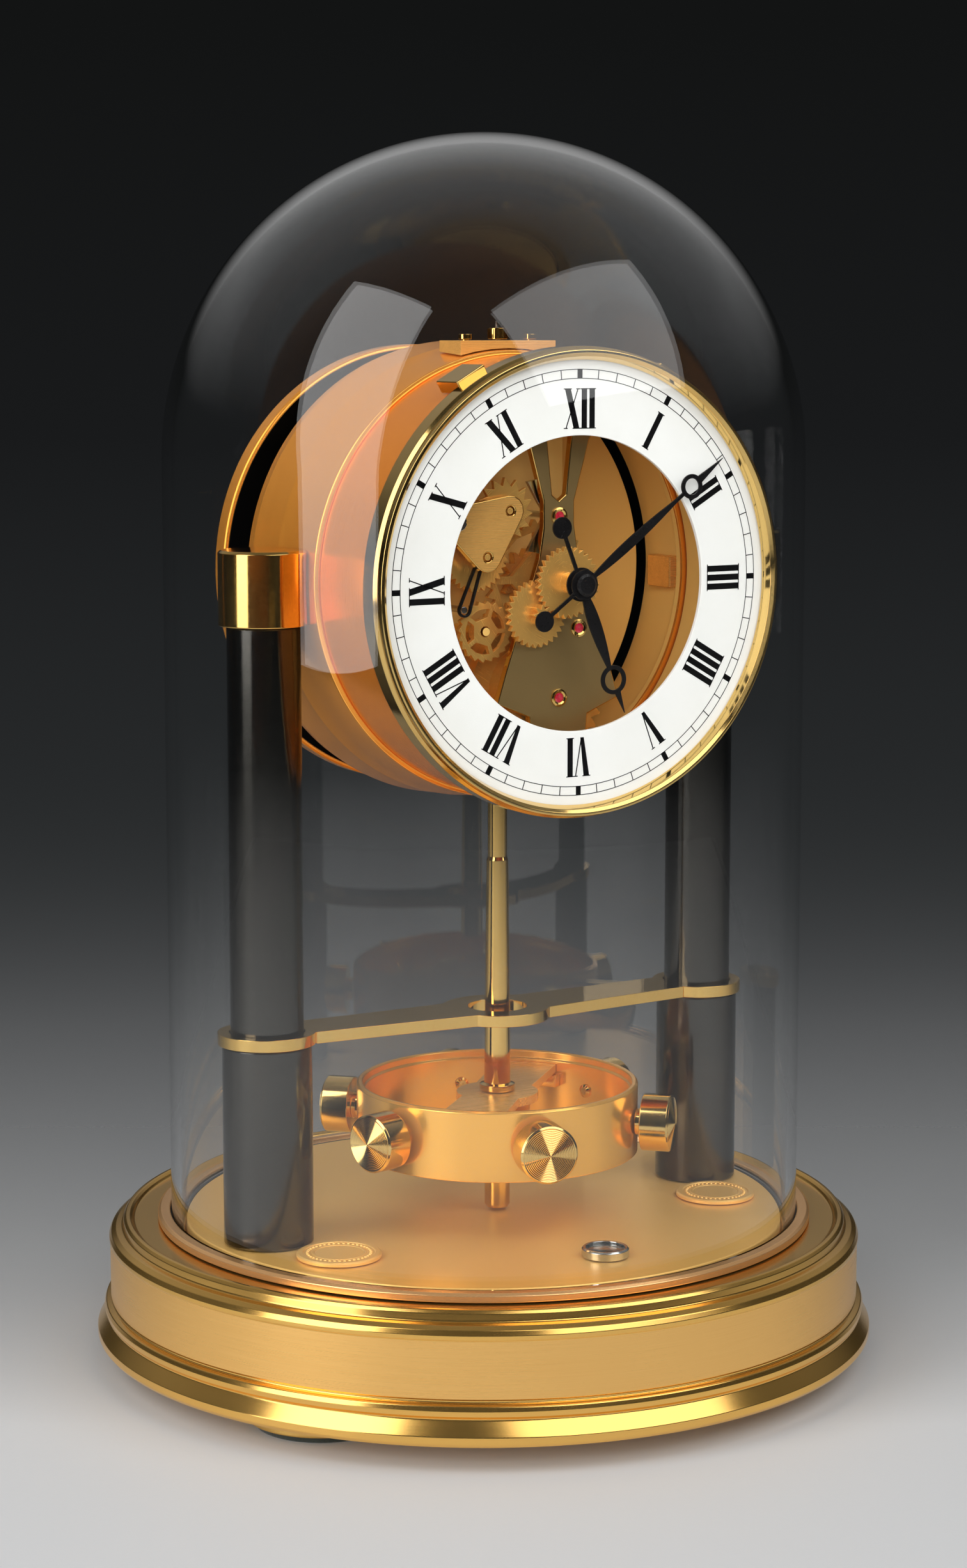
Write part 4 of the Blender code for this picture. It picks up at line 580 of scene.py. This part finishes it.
def fillLamp(name, spot, turn, width, tall, bright):
    lamp = bpy.data.lights.new(name, "AREA")
    lamp.shape = "RECTANGLE"
    lamp.size, lamp.size_y = width, tall
    lamp.energy = bright * pi * width * tall
    holder = added(name, lamp)
    holder.location = spot
    holder.rotation_euler = turn.to_euler()
    holder.visible_camera = holder.visible_glossy = holder.visible_transmission = False

def hangLamps():
    for name, azimuth, height, distance, width, tall, bright, seen in view["lamps"]:
        a, e = radians(azimuth), radians(height)
        away = Vector((sin(a) * cos(e), -cos(a) * cos(e), sin(e)))
        spot, turn = Vector(view["aim"]) + away * distance, away.to_track_quat("Z", "Y")
        make = softBox if seen else fillLamp
        make(name, spot, turn, width, tall, bright)

def paintRoom():
    world = bpy.data.worlds.new("room")
    world.use_nodes = True
    scene.world = world
    paint = Paint("room", world.node_tree)
    direction = paint.node("ShaderNodeTexCoord", output="Generated")
    up = paint.outputs(paint.node("ShaderNodeSeparateXYZ", {0: direction}))[2]
    wall = paint.node("ShaderNodeValToRGB", {0: paint.remap(up, -0.3, 0.9)}, {"stops": view["wall"]})
    behind = paint.node("ShaderNodeVectorMath", {0: direction, 1: Vector(view["fillFrom"]).normalized()},
                        {"operation": "DOT_PRODUCT"}, "Value")
    fill = paint.remap(behind, 0.2, 1.0, 0.0, view["fill"]) * paint.remap(up, 0.12, 0.4)
    wash = paint.blend(fill, wall, (1.0, 1.0, 1.0, 1.0))
    paint.end(paint.node("ShaderNodeBackground", {"Color": wash, "Strength": 1.0}),
              "ShaderNodeOutputWorld")

def layFloor():
    reach = view["floorReach"]
    work = bmesh.new()
    bmesh.ops.create_circle(work, cap_ends=True, segments=96, radius=reach)
    mesh = plainMesh("floor", work)
    floor = added("floor", mesh)
    paint = Paint("paleFloor")
    x, y, z = paint.place()
    turn = radians(view["turn"])
    behind = y * cos(turn) - x * sin(turn)
    away = (x * x + y * y) ** 0.5
    pale = paint.node("ShaderNodeBsdfPrincipled", {
        "Base Color": view["floorColour"],
        "Roughness": paint.remap(paint.cloud(900, 2.0), 0.3, 0.7, 0.5, 0.62),
        "Specular IOR Level": 0.25})
    clear = paint.node("ShaderNodeBsdfTransparent")
    near, half = view["floorFade"]
    left = 0.5 ** (paint.remap(behind, near, reach, 0.0, reach - near) / half)
    fade = 1.0 - left * paint.remap(away, *view["floorEdge"], 1.0, 0.0)
    mesh.materials.append(paint.end(paint.either(fade, pale, clear)))

placeCamera()
hangLamps()
paintRoom()
layFloor()
print("studio set")

# base

base = {
    "outline": ((88.5, 6.4), (94.3, 6.4), (95, 7.3), (95, 8.9), (94.5, 9.6), (92.5, 12.3), (93.1, 13),
                (93.3, 14.2), (92.9, 15.3), (91.4, 15.7), (91.4, 16.3), (91.7, 16.5), (91.7, 29.8),
                (91.95, 30.2), (91.95, 31.1), (91.4, 32.2), (90.3, 33), (88.7, 33.3), (88.4, 35.1),
                (87.8, 35.8), (86.9, 35.9), (86.2, 35.3), (85.8, 34.6), (73.4, 34.6), (73.4, 33.2),
                (70, 33.2), (70, 31), (88.5, 31)),
    "band": (16.6, 29.7), "bandRadius": 91.3, "steps": 192,
    "deck": (0, 73, 33.5, 36.5), "deckHoles": ((53, -24, 3.0), (60.8, -4, 5.0)), "holeEnds": (32.5, 37.5),
    "foot": (61, -30), "footPad": (0, 16, 0, 1.5),
    "footScrew": ((0, 1.8), (18, 1.8), (18, 4), (17.4, 4.6), (4, 4.6), (4, 26), (0, 26)),
    "cap": (53, -24),
    "capDisc": ((0, 32), (2.7, 32), (2.7, 36.8), (9.8, 36.8), (9.8, 37.5), (9.4, 37.8), (8.4, 37.8),
                (8.2, 37.6), (6.4, 37.6), (6.2, 37.75), (5.8, 37.75), (5.6, 37.6), (0, 37.6)),
    "bead": ((0, -0.1), (0.42, -0.1), (0.36, 0.2), (0.2, 0.34), (0, 0.38)),
    "beads": 40, "beadRadius": 7.3, "beadHeight": 37.55,
    "level": (0, -55),
    "levelCase": ((0, 36.8), (5.5, 36.8), (5.5, 38.5), (5.1, 38.9), (4.5, 38.9), (4.5, 37.4), (0, 37.4)),
    "levelVial": ((0, 37.7), (4.2, 37.7), (4.2, 38.3), (3.0, 38.5), (1.5, 38.58), (0, 38.6)),
}

def makeBase():
    shell = turned("baseShell", base["outline"], upright, base["steps"], 0.5, "clock", mouldingBrass,
                   "base_body")
    low, high = base["band"]
    finishWhere(shell, bandBrass, lambda f: low < f.center.z / mm < high
                and f.center.xy.length / mm > base["bandRadius"])

    deck = lathe("deck", ringShape(*base["deck"]), upright, 160, 0.4)
    holes = [drill(side * x, y, radius, *base["holeEnds"])
             for x, y, radius in base["deckHoles"] for side, word in sides]
    piece("deck", cut(deck, *holes), "clock", deckBrass, "base_deck")
    carried("floorPlate", "base_floor", 0.2, "clock", bandBrass)

    x, y = base["foot"]
    for side, word in sides:
        place = at(side * x, y)
        turned(word + "FootScrew", base["footScrew"], place, 96, 0.35, word + "_screw", polishedBrass,
               word + "_foot_screw")
        turned(word + "FootPad", ringShape(*base["footPad"]), place, 96, 0.4, word + "_pad", darkFelt,
               word + "_foot_pad")
    carried("rearFoot", "rear_foot", 0.15, "clock", polishedBrass)

    x, y = base["cap"]
    bead = lathe("bead", base["bead"], upright, 10, 0)
    for side, word in sides:
        turned(word + "Cap", base["capDisc"], at(side * x, y), 72, 0.08, "clock", deckBrass,
               word + "_foot_cap")
        ringed(word + "CapBeads", bead, base["beads"], base["beadRadius"], 0,
               at(side * x, y, base["beadHeight"]), "clock", deckBrass)

    place = at(*base["level"])
    turned("levelCase", base["levelCase"], place, 64, 0.2, "clock", steel, "spirit_level_case")
    turned("levelVial", base["levelVial"], place, 64, 0.1, "clock", vialGlass, "spirit_level_vial")

makeBase()
print("base made")

# dome

dome = {
    "outer": 76.7, "inner": 74.2, "foot": 36.0, "footEdge": 0.5, "centre": 219.3, "parts": 40, "rows": 6,
    "rim": ((77, 36), (79.3, 36), (79.3, 34.95), (80, 34.95), (80, 36.5), (79.3, 37.1), (77, 37.1)),
    "seal": (74.2, 79, 34.9, 35.7),
}

def domeWall(radius, edge):
    # one side of the glass, from its foot to the crown
    foot, centre, parts, rows = dome["foot"], dome["centre"], dome["parts"], dome["rows"]
    wall = [(radius - edge, foot), (radius, foot + abs(edge))]
    wall += [(radius, foot + (centre - foot) * k / rows) for k in range(1, rows)]
    angles = [pi / 2 * k / parts for k in range(parts)]
    wall += [(radius * cos(angle), centre + radius * sin(angle)) for angle in angles]
    return wall + [(0.0, centre + radius)]

def makeDome():
    edge = dome["footEdge"]
    outline = domeWall(dome["outer"], edge) + domeWall(dome["inner"], -edge)[::-1]
    turned("glassDome", outline, upright, 160, 0, "dome", domeGlass, "glass_dome")
    turned("domeRim", dome["rim"], upright, 160, 0.35, "dome", rimCopper, "dome_rim")
    turned("domeSeal", ringShape(*dome["seal"]), upright, 128, 0.2, "clock", blackRubber, "dome_seal")

makeDome()
print("dome made")

# columns, collars and strap

stand = {
    "x": 60.8, "y": -4,
    "column": ((0, 33.5), (4.7, 33.5), (4.7, 36.8), (10.3, 36.8), (10.3, 84.2), (8.4, 84.2), (8.4, 182.3),
               (4.7, 182.3), (4.7, 191.8), (0, 191.8)),
    "collar": ((4.9, 182.6), (10.1, 182.6), (10.1, 199.4), (9.5, 200), (0, 200), (0, 192.2), (4.9, 192.2)),
    "drum": ((55.0, -40), (55.0, -14), (52.8, 14), (52.8, 20)), "drumGap": 0.3,  # what the columns clear
    "strap": (84.5, 87.3), "strapEnd": 11.3, "strapHole": 8.7, "strapHalf": 6.7, "strapFlare": 2.0,
    "strapJoin": 0.8, "strapParts": 60, "endParts": 40, "eye": 13.0, "eyeHole": 7.25,
}

def clearOfDrum(mesh):
    wall = [(radius + stand["drumGap"], depth) for radius, depth in stand["drum"]]
    outline = [(0, wall[0][1])] + wall + [(0, wall[-1][1])]
    return cut(mesh, lathe("drumCutter", outline, facing, 160, 0))

def strapOutline(lean):
    # a waisted bar with an eye in its middle and round ends, which lie at a lean from the eye
    reach, end, eye = stand["x"], stand["strapEnd"], stand["eye"]
    parts, endParts = stand["strapParts"], stand["endParts"]
    top, bottom = [], []
    for k in range(-parts, parts + 1):
        x = reach * k / parts
        half = stand["strapHalf"] + stand["strapFlare"] * (1 - abs(x) / reach) ** 2
        if abs(x) < eye:
            half = max(half, sqrt(eye ** 2 - x ** 2))
        if abs(x) < reach - end * stand["strapJoin"]:
            top.append((x, lean * abs(x) / reach + half))
            bottom.append((x, lean * abs(x) / reach - half))
    start = asin(stand["strapHalf"] / end)
    angles = [(pi - start) * (1 - 2 * k / endParts) for k in range(endParts + 1)]
    right = [(reach + end * cos(angle), lean + end * sin(angle)) for angle in angles]
    left = [(-x, y) for x, y in right]
    return top + right + bottom[::-1] + left[::-1]

def makeStand():
    for side, word in sides:
        place = at(side * stand["x"], stand["y"])
        column = clearOfDrum(lathe("column", stand["column"], place, 96, 0.35))
        piece(word + "Column", column, "clock", gunmetal, word + "_column")
        collar = clearOfDrum(lathe("collar", stand["collar"], place, 96, 0.25))
        piece(word + "Collar", collar, "clock", polishedBrass, word + "_collar")

    lean = stand["y"] - pendulumY
    loops = [strapOutline(lean), circle(0, 0, stand["eyeHole"])]
    loops += [circle(x, lean, stand["strapHole"]) for x in (stand["x"], -stand["x"])]
    strap = slab("strap", loops, *stand["strap"], at(0, pendulumY), 0.3)
    piece("strap", strap, "clock", polishedBrass, "cross_strap")

makeStand()
print("stand made")

# drum: can, lid, casing and bellows

can = {
    "outline": ((48, 14), (48, 11.5), (50.5, 11.5), (52, -7.6), (52.5, -14), (50.9, -17.5), (45.9, -17.5),
                (45.9, -20), (52.5, -20), (54.4, -17.5), (55, -14), (54.36, -4.5), (54.3, -2.5), (53.75, 0.5),
                (53.5, 4), (52.86, 13.3), (52.1, 14)),
    "inside": 52.7, "paintedLitDepths": (-13.5, 7.6),  # the inner wall's radius, and the depths over which it is painted light with lit copper; behind them it is painted shade
    "holes": ((0, 5.35, 120, 160), (0, 0.95, 225, 262), (-8.9, 1.2, 225, 262), (8.9, 1.2, 225, 262)),
    "lid": ((0, -38.5), (52, -38.5), (54, -36.5), (54, -32.1), (53.4, -31.5), (45.6, -31.5), (45.6, -18.3),
            (43.2, -18.3), (43.2, -35.5), (0, -35.5)),
    "neck": 51.0, "neckBack": 33,
    "casing": (49.3, 51.8, 14.3, 41.3), "casingInside": 49.8,
    "bellows": {"wide": 42.0, "tight": 37.0, "start": -35.2, "end": -10.9, "folds": 4, "parts": 12,
                "skin": 0.9},
    "plate": (0, 49.5, -10.6, -8),
    "rod": ((0, -8.2), (1.5, -8.2), (1.5, 21.5), (1.0, 22), (0, 22)), "rodAt": (-25.5, -11.2),
    "bracket": ((48.2, -5.4), (51.3, -5.4), (51.3, 2.4), (48.2, 2.4)), "bracketDepth": (-1.5, 8.5),
}

def fromAxis(face):
    x, y, z = face.center / mm
    return hypot(x, z - dialHeight)

def depthOf(face):
    return face.center.y / mm

def bellowsOutline(wide, tight, start, end, folds, parts, skin):
    middle, swing = (wide + tight) / 2, (wide - tight) / 2 - skin / 2
    wave = []
    for k in range(folds * parts + 1):
        t = k / (folds * parts)
        wave.append((middle - swing * cos(2 * pi * folds * t), start + (end - start) * t))
    return [(r + skin / 2, h) for r, h in wave] + [(r - skin / 2, h) for r, h in reversed(wave)]

def makeDrum():
    holes = [drill(x, pendulumY, *hole) for x, *hole in can["holes"]]
    shell = cut(lathe("can", can["outline"], facing, facets, 0.5), *holes)
    shell = piece("can", shell, "clock", drumBrass, "bellows_can")
    front, back = can["paintedLitDepths"]
    # painted light on the can's inner wall
    finishWhere(shell, insideCopper, lambda f: fromAxis(f) < can["inside"] and front < depthOf(f) < back)
    # painted shade on the can's inner wall, behind the copper that is painted lit
    finishWhere(shell, neckBrass, lambda f: fromAxis(f) < can["inside"] and depthOf(f) > back)
    lid = turned("rearLid", can["lid"], facing, facets, 0.9, "clock", drumBrass, "rear_lid")
    # painted shade on the lid's neck and on the lid's face toward the can
    finishWhere(lid, neckBrass, lambda f: fromAxis(f) < can["neck"] and depthOf(f) < can["neckBack"])
    casing = turned("casing", ringShape(*can["casing"]), facing, facets, 0.3, "clock", casingCopper,
                    "movement_casing")
    # painted light on the casing's inner wall
    finishWhere(casing, insideCopper, lambda f: fromAxis(f) < can["casingInside"])

    turned("bellowsSkin", bellowsOutline(**can["bellows"]), facing, 128, 0, "bellows_front", drumBrass,
           "bellows")
    # the bellows plate is painted light too
    turned("bellowsPlate", ringShape(*can["plate"]), facing, facets, 0.3, "bellows_front", insideCopper,
           "bellows_plate")
    turned("pushRod", can["rod"], facing @ at(*can["rodAt"]), 32, 0.1, "bellows_front", plateBrass)
    bracket = slab("wallBracket", [can["bracket"]], *can["bracketDepth"], facing, 0.5)
    piece("wallBracket", bracket, "clock", plateBrass, slot="brushed_brass")

makeDrum()
print("drum made")

# suspension on top of the drum

hanger = {"ribs": 24, "rib": (0.35, 0.3, 0.0, 2.2), "ribRadius": 2.3, "ribFoot": 247.8}

def makeSuspension():
    carried("saddle", "suspension_saddle", 0.25, "clock", plateBrass, "polished_brass")
    for side, word in sides:
        carried(word + "SaddleScrew", word + "_suspension_screw", 0.1, "clock", polishedBrass, "steel")
    carried("hangerNut", "suspension_nut", 0.1, "clock", polishedBrass)
    ringed("nutKnurl", bar("rib", *hanger["rib"]), hanger["ribs"], hanger["ribRadius"], 0,
           at(0, pendulumY, hanger["ribFoot"]), "clock", polishedBrass)
    carried("wire", "torsion_wire", 0.0, "clock", steel)

makeSuspension()
print("suspension made")

# dial: ring, marks, numerals, bezel and hands

dial = {
    "ring": (33.9, 51.6, 41.6, 42.6), "ink": (42.57, 42.65),  # the ink's lowest and highest level
    "circles": (("innerCircle", 46.75), ("outerCircle", 48.8)), "circleWidth": 0.16,
    "marks": (("minuteMarks", 60, 1.9, 0.2), ("fiveMarks", 12, 1.9, 1.3)), "markRadius": 47.78,
    "bezel": ((50.8, 42.9), (51.7, 45.4), (52.5, 46), (53.3, 46), (53.3, 44.1), (54, 43.3), (54, 38.5),
              (52.1, 38.5), (52.1, 42.9)),
    "lug": ((-4, 52.2), (4, 52.2), (4, 55.3), (-4, 55.3)), "lugDepth": (30.5, 40), "lugAngle": 29.5,
    "nut": ((0, 45.4), (2.6, 45.4), (2.6, 46.0), (2.0, 46.4), (0, 46.5)),
}
letters = {
    "numerals": ("XII", "I", "II", "III", "IIII", "V", "VI", "VII", "VIII", "IX", "X", "XI"),
    "widths": {"I": 2.1, "V": 4.5, "X": 4.5}, "foot": 35.4, "tall": 9.1,
    "thick": 1.42, "slant": 1.52, "hair": 0.26, "serif": 0.22, "over": 0.3, "inset": 0.35,
    "vFoot": (-0.37, 0.55), "vHair": (0.15, 0.55), "vSerif": (0.7, 0.3), "xHair": 0.5, "xSerif": (0.8, 0.4),
}

def letterStrokes(letter, left):
    # each stroke: its edges at the foot, its edges at the head, foot height, head height
    tall, serif, over, inset = [letters[key] for key in ("tall", "serif", "over", "inset")]
    thick, slant, hair = [letters[key] for key in ("thick", "slant", "hair")]
    right = left + letters["widths"][letter]

    def footSerif(a, b):
        return ((a - over, b + over), (a - over, b + over), 0, serif)

    def headSerif(a, b):
        return ((a - over, b + over), (a - over, b + over), tall - serif, tall)

    middle = (left + right) / 2
    if letter == "I":
        a, b = middle - thick / 2, middle + thick / 2
        return [((a, b), (a, b), 0, tall), footSerif(a, b), headSerif(a, b)]
    head = left + inset
    if letter == "V":
        feet = [middle + x for x in letters["vFoot"]]
        thin, thinHead = middle + letters["vHair"][0], right - letters["vHair"][1]
        far, near = letters["vSerif"]
        return [(feet, (head, head + slant), 0, tall),
                ((thin, thin + hair), (thinHead, thinHead + hair), 0, tall),
                headSerif(head, head + slant), headSerif(right - far, right - near)]
    foot = right - inset - thick
    thin, thinHead = left + letters["xHair"], right - letters["xHair"]
    far, near = letters["xSerif"]
    return [((foot, foot + slant), (head, head + slant), 0, tall),
            ((thin, thin + hair), (thinHead - hair, thinHead), 0, tall),
            headSerif(head, head + slant), headSerif(right - far, right - near),
            footSerif(foot, foot + slant), footSerif(left + near, left + far)]

def numeralMesh():
    work = bmesh.new()
    foot, widths = letters["foot"], letters["widths"]
    for hour, word in enumerate(letters["numerals"]):
        turn = Matrix.Rotation(-2 * pi * hour / 12, 4, "Z")
        left = -sum(widths[letter] for letter in word) / 2
        for letter in word:
            for feet, heads, bottom, top in letterStrokes(letter, left):
                corners = ((feet[0], foot + bottom), (feet[1], foot + bottom), (heads[1], foot + top),
                           (heads[0], foot + top))
                box(work, corners, *dial["ink"], facing @ turn)
            left += widths[letter]
    bmesh.ops.recalc_face_normals(work, faces=work.faces)
    return plainMesh("numerals", work)

hands = {
    "hour": {"length": 32.6, "ringAt": 24.1, "ring": 3.4, "tail": 14.1, "tailRadius": 2.5, "hub": 3.9,
             "leaf": 1.6, "low": 43.3, "angle": 158.4},
    "minute": {"length": 47.3, "ringAt": 36.4, "ring": 2.9, "tail": 13.3, "tailRadius": 2.4, "hub": 3.5,
               "leaf": 1.2, "low": 44.7, "angle": 53.5},
    "thick": 0.5, "ringWall": 1.0, "stem": 0.45, "spear": 1.2, "leafLean": 0.8,
    "stemParts": 60, "discParts": 28,
}

def handDiscs(size):
    return ((-size["tail"], size["tailRadius"]), (0.0, size["hub"]), (size["ringAt"], size["ring"]))

def handHalf(size, s):
    # half width at a distance s along the hand: stem, tail disc, hub, leaf, ring and spear
    widths = [hands["stem"]]
    for centre, radius in handDiscs(size):
        widths.append(sqrt(max(0.0, radius ** 2 - (s - centre) ** 2)))
    share = s / size["ringAt"]
    if 0 < share < 1:
        widths.append(size["leaf"] * sin(pi * share ** hands["leafLean"]))
    if share > 1:
        widths[0] = hands["spear"] * (size["length"] - s) / (size["length"] - size["ringAt"])
    if s < -size["tail"]:
        widths[0] = 0.0
    return max(widths)

def handOutline(size):
    parts, discParts = hands["stemParts"], hands["discParts"]
    stations = [size["ringAt"] * k / parts for k in range(parts + 1)]
    for centre, radius in handDiscs(size):
        stations += [centre + radius * cos(pi * k / discParts) for k in range(discParts + 1)]
    stations = sorted(set(round(s, 4) for s in stations))[1:]
    right = [(handHalf(size, s), s) for s in stations]
    left = [(-x, s) for x, s in right[::-1]]
    return [(0.0, -size["tail"] - size["tailRadius"])] + right + [(0.0, size["length"])] + left

def makeHand(word, body):
    size = hands[word]
    loops = [handOutline(size), circle(0, size["ringAt"], size["ring"] - hands["ringWall"], 40)]
    turn = Matrix.Rotation(-radians(size["angle"]), 4, "Z")
    shape = slab(word + "Hand", loops, size["low"], size["low"] + hands["thick"], facing @ turn, 0.1)
    piece(word + "Hand", shape, body, blackLacquer, word + "_hand")

def makeDial():
    turned("dialRing", ringShape(*dial["ring"]), facing, facets, 0.15, "clock", whiteEnamel, "chapter_ring")
    half, ink = dial["circleWidth"] / 2, dial["ink"]
    for name, radius in dial["circles"]:
        turned(name, ringShape(radius - half, radius + half, *ink), facing, facets, 0, "clock", dialInk)
    for name, count, length, width in dial["marks"]:
        mark = bar("mark", length, width, *ink)
        ringed(name, mark, count, dial["markRadius"], 90, facing, "clock", dialInk)
    piece("numerals", numeralMesh(), "clock", dialInk)

    turned("bezelRing", dial["bezel"], facing, facets, 0.35, "clock", dialBrass, "bezel")
    work = bmesh.new()
    for side, word in sides:
        turn = Matrix.Rotation(radians(dial["lugAngle"]) * side, 4, "Z")
        box(work, dial["lug"], *dial["lugDepth"], facing @ turn)
    lugs = eased(closeMesh("bezelLugs", work, sharpness["flat"]), 0.3)
    piece("bezelLugs", lugs, "clock", dialBrass)

    makeHand("hour", "hour")
    makeHand("minute", "centre")
    turned("handNut", dial["nut"], facing, 48, 0.2, "centre", blackLacquer, "hand_nut")

makeDial()
print("dial made")

# movement behind the dial

works = {
    # the back plate is painted light too
    "plates": (("backPlate", "back_plate", insideCopper), ("frontPlate", "front_plate", frontBrass),
               ("trainBridge", "train_bridge", plateBrass)),
    "plateEdge": 0.35, "faceOn": 0.98,  # faces turned further from the front are polished
    "wheels": (("barrelWheel", "barrel", "barrel", gearBrass),
               ("centreWheel", "centre_wheel", "centre", gearBrass),
               ("thirdWheel", "third_wheel", "third", gearBrass),
               ("escapeWheel", "escape_wheel", "escape", gearBrass),
               ("palletLever", "pallet_lever", "lever", steel),
               ("cannonPinion", "cannon_pinion", "centre", steel),
               ("minuteWheel", "minute_wheel", "motion", gearBrass),
               ("hourWheel", "hour_wheel", "hour", gearBrass),
               ("windingWheel", "winding_wheel", "winding", gearBrass)),
    "wheelEdge": 0.1, "front": 34.0,  # depth of the front plate's face
    "jewels": ((0, 15.1), (5.4, -11.0), (0, -27.0)),
    "chaton": ((1.15, -0.1), (2.1, -0.1), (2.1, 0.35), (1.6, 0.5), (1.15, 0.3)),
    "stone": ((0, -0.1), (1.15, -0.1), (1.15, 0.22), (0.7, 0.34), (0.3, 0.3), (0, 0.2)),
    "screws": ((-27, 14.5), (-20.5, -41.7), (20.5, -41.7), (-8, 37), (8, 37)),
    "head": (0, 1.9, -0.05, 1.0), "headSlot": (5.7, 0.45, 0.55, 2.0),
    # winding lever: pivot, tip, half widths, thickness of its wire, depths of the loop and of its arbor
    "lever": {"pivot": (-23.5, -5.8), "reach": 9.5, "towards": (-18.98, 6.31), "ends": (1.7, 1.1),
              "wire": 0.55, "depth": (30.5, 31.4), "arbor": (0, 0.8, 17.2, 31.0)},
}

def loopOutline(first, last, start, end, grow, parts=16):
    # outline round two discs
    lean = atan2(last[1] - first[1], last[0] - first[0])
    points = []
    for centre, radius, turn in ((first, start + grow, pi / 2), (last, end + grow, -pi / 2)):
        for k in range(parts + 1):
            angle = lean + turn + pi * k / parts
            points.append((centre[0] + radius * cos(angle), centre[1] + radius * sin(angle)))
    return points

def makeWorks():
    for name, node, finish in works["plates"]:
        plate = carried(name, node, works["plateEdge"], "clock", finish)
        finishWhere(plate, polishedBrass, lambda f: abs(f.normal.y) < works["faceOn"])
    for name, node, body, finish in works["wheels"]:
        carried(name, node, works["wheelEdge"], body, finish)

    jewels, front = works["jewels"], works["front"]
    spotted("chatons", lathe("chaton", works["chaton"], upright, 32, 0.08), jewels, front, polishedBrass)
    spotted("stones", lathe("stone", works["stone"], upright, 28, 0.05), jewels, front, ruby)
    head = lathe("head", ringShape(*works["head"]), upright, 28, 0.15)
    head = cut(head, bar("slot", *works["headSlot"]))
    spotted("plateScrews", head, works["screws"], front, steel)

    lever = works["lever"]
    pivot = Vector(lever["pivot"])
    tip = pivot + (Vector(lever["towards"]) - pivot).normalized() * lever["reach"]
    loops = [loopOutline(pivot, tip, *lever["ends"], grow) for grow in (0.0, -lever["wire"])]
    loop = slab("windingLever", loops, *lever["depth"], facing, 0.12)
    piece("windingLever", loop, "crank", blackLacquer, "winding_lever")
    turned("leverArbor", ringShape(*lever["arbor"]), facing @ at(*pivot), 28, 0.1, "crank", steel)

makeWorks()
print("movement made")

# torsion pendulum

swing = {
    "tube": ((0, 66.5), (4.3, 66.5), (4.3, 68), (3.2, 68.3), (2.65, 123.2), (2.35, 124), (2.35, 181),
             (4.5, 181), (4.5, 183), (2.35, 183), (2.35, 186), (1, 186), (1, 71.2), (0, 71.2)),
    "hub": ((0, 37.2), (2.5, 37.2), (3.1, 38), (3.1, 60), (4.6, 61.5), (8, 61.5), (8, 63.7), (2.2, 63.7),
            (2.2, 66.2), (0, 66.2)),
    "ring": ((32.2, 52), (34.25, 52), (34.25, 68.5), (33.75, 69), (33, 69), (32.7, 68.7), (32.7, 67.2),
             (32.2, 66.8)),
    "seat": (29.6, 32.4), "seatHeight": (60.7, 63.7), "seatSpread": 16, "barAngle": 45.3,
    "weight": ((0, 0), (3.2, 0), (3.2, 1.8), (6.9, 1.8), (6.9, 8.3), (6.4, 8.7)),
    "grooves": 16, "deep": 0.06, "rise": 0.8,
    "stud": ((0, -0.9), (1.02, -0.9), (1.7, -0.45), (1.7, 0.3), (0, 0.3)), "studStart": 32.2,
    "weights": 6, "firstWeight": 15.3, "weightStart": 34.55, "weightHeight": 60.5, "sharp": 60,
}

def weightOutline():
    # a waisted drum whose face is a low cone with fine turned grooves
    edge, foot = swing["weight"][-1]
    count, rise = swing["grooves"] * 4, swing["rise"]
    side = softened(list(swing["weight"]) + [(0, foot)], 0.2)[:-1]
    face = [(edge * (1 - k / count), foot + rise * k / count + swing["deep"] * sin(pi * k / 2))
            for k in range(1, count)]
    return side + face + [(0.0, foot + rise)]

def makeSwing():
    place = at(0, pendulumY)
    turned("swingTube", swing["tube"], place, 64, 0.2, "balance", polishedBrass, "balance_tube")
    turned("swingHub", swing["hub"], place, 72, 0.25, "balance", polishedBrass, "balance_hub")
    turned("swingRing", swing["ring"], place, facets, 0.25, "balance", ringBrass, "balance_ring")
    carried("swingBar", "balance_crossbar", 0.2, "balance", plateBrass, "brushed_brass")
    spread = swing["seatSpread"]
    angles = [radians(angle) for angle in range(-spread, spread + 1, 2)]
    inner, outer = [[(radius * cos(a), radius * sin(a)) for a in angles]
                    for radius in swing["seat"]]
    seat = slab("seat", [outer + inner[::-1]], *swing["seatHeight"], upright, 0.2)
    ringed("barSeats", seat, 2, 0.0, swing["barAngle"], place, "balance", ringBrass)

    outward = Matrix(((0, 0, 1, 0), (0, 1, 0, 0), (-1, 0, 0, 0), (0, 0, 0, 1)))  # z of a shape runs outward
    place = at(0, pendulumY, swing["weightHeight"])
    count, first = swing["weights"], swing["firstWeight"]
    stands = ["balance_weight_%d" % (k + 1) for k in range(count)]
    weight = lathe("weight", weightOutline(), outward, 64, 0, 180)
    ringed("swingWeights", weight, count, swing["weightStart"], first, place, "balance", weightBrass, *stands,
           sharp=swing["sharp"])
    stud = lathe("stud", swing["stud"], outward, 32, 0.15)
    ringed("swingStuds", stud, count, swing["studStart"], first, place, "balance", polishedBrass,
           sharp=swing["sharp"])

makeSwing()
print("pendulum made")

scene.view_settings.view_transform = "Standard"
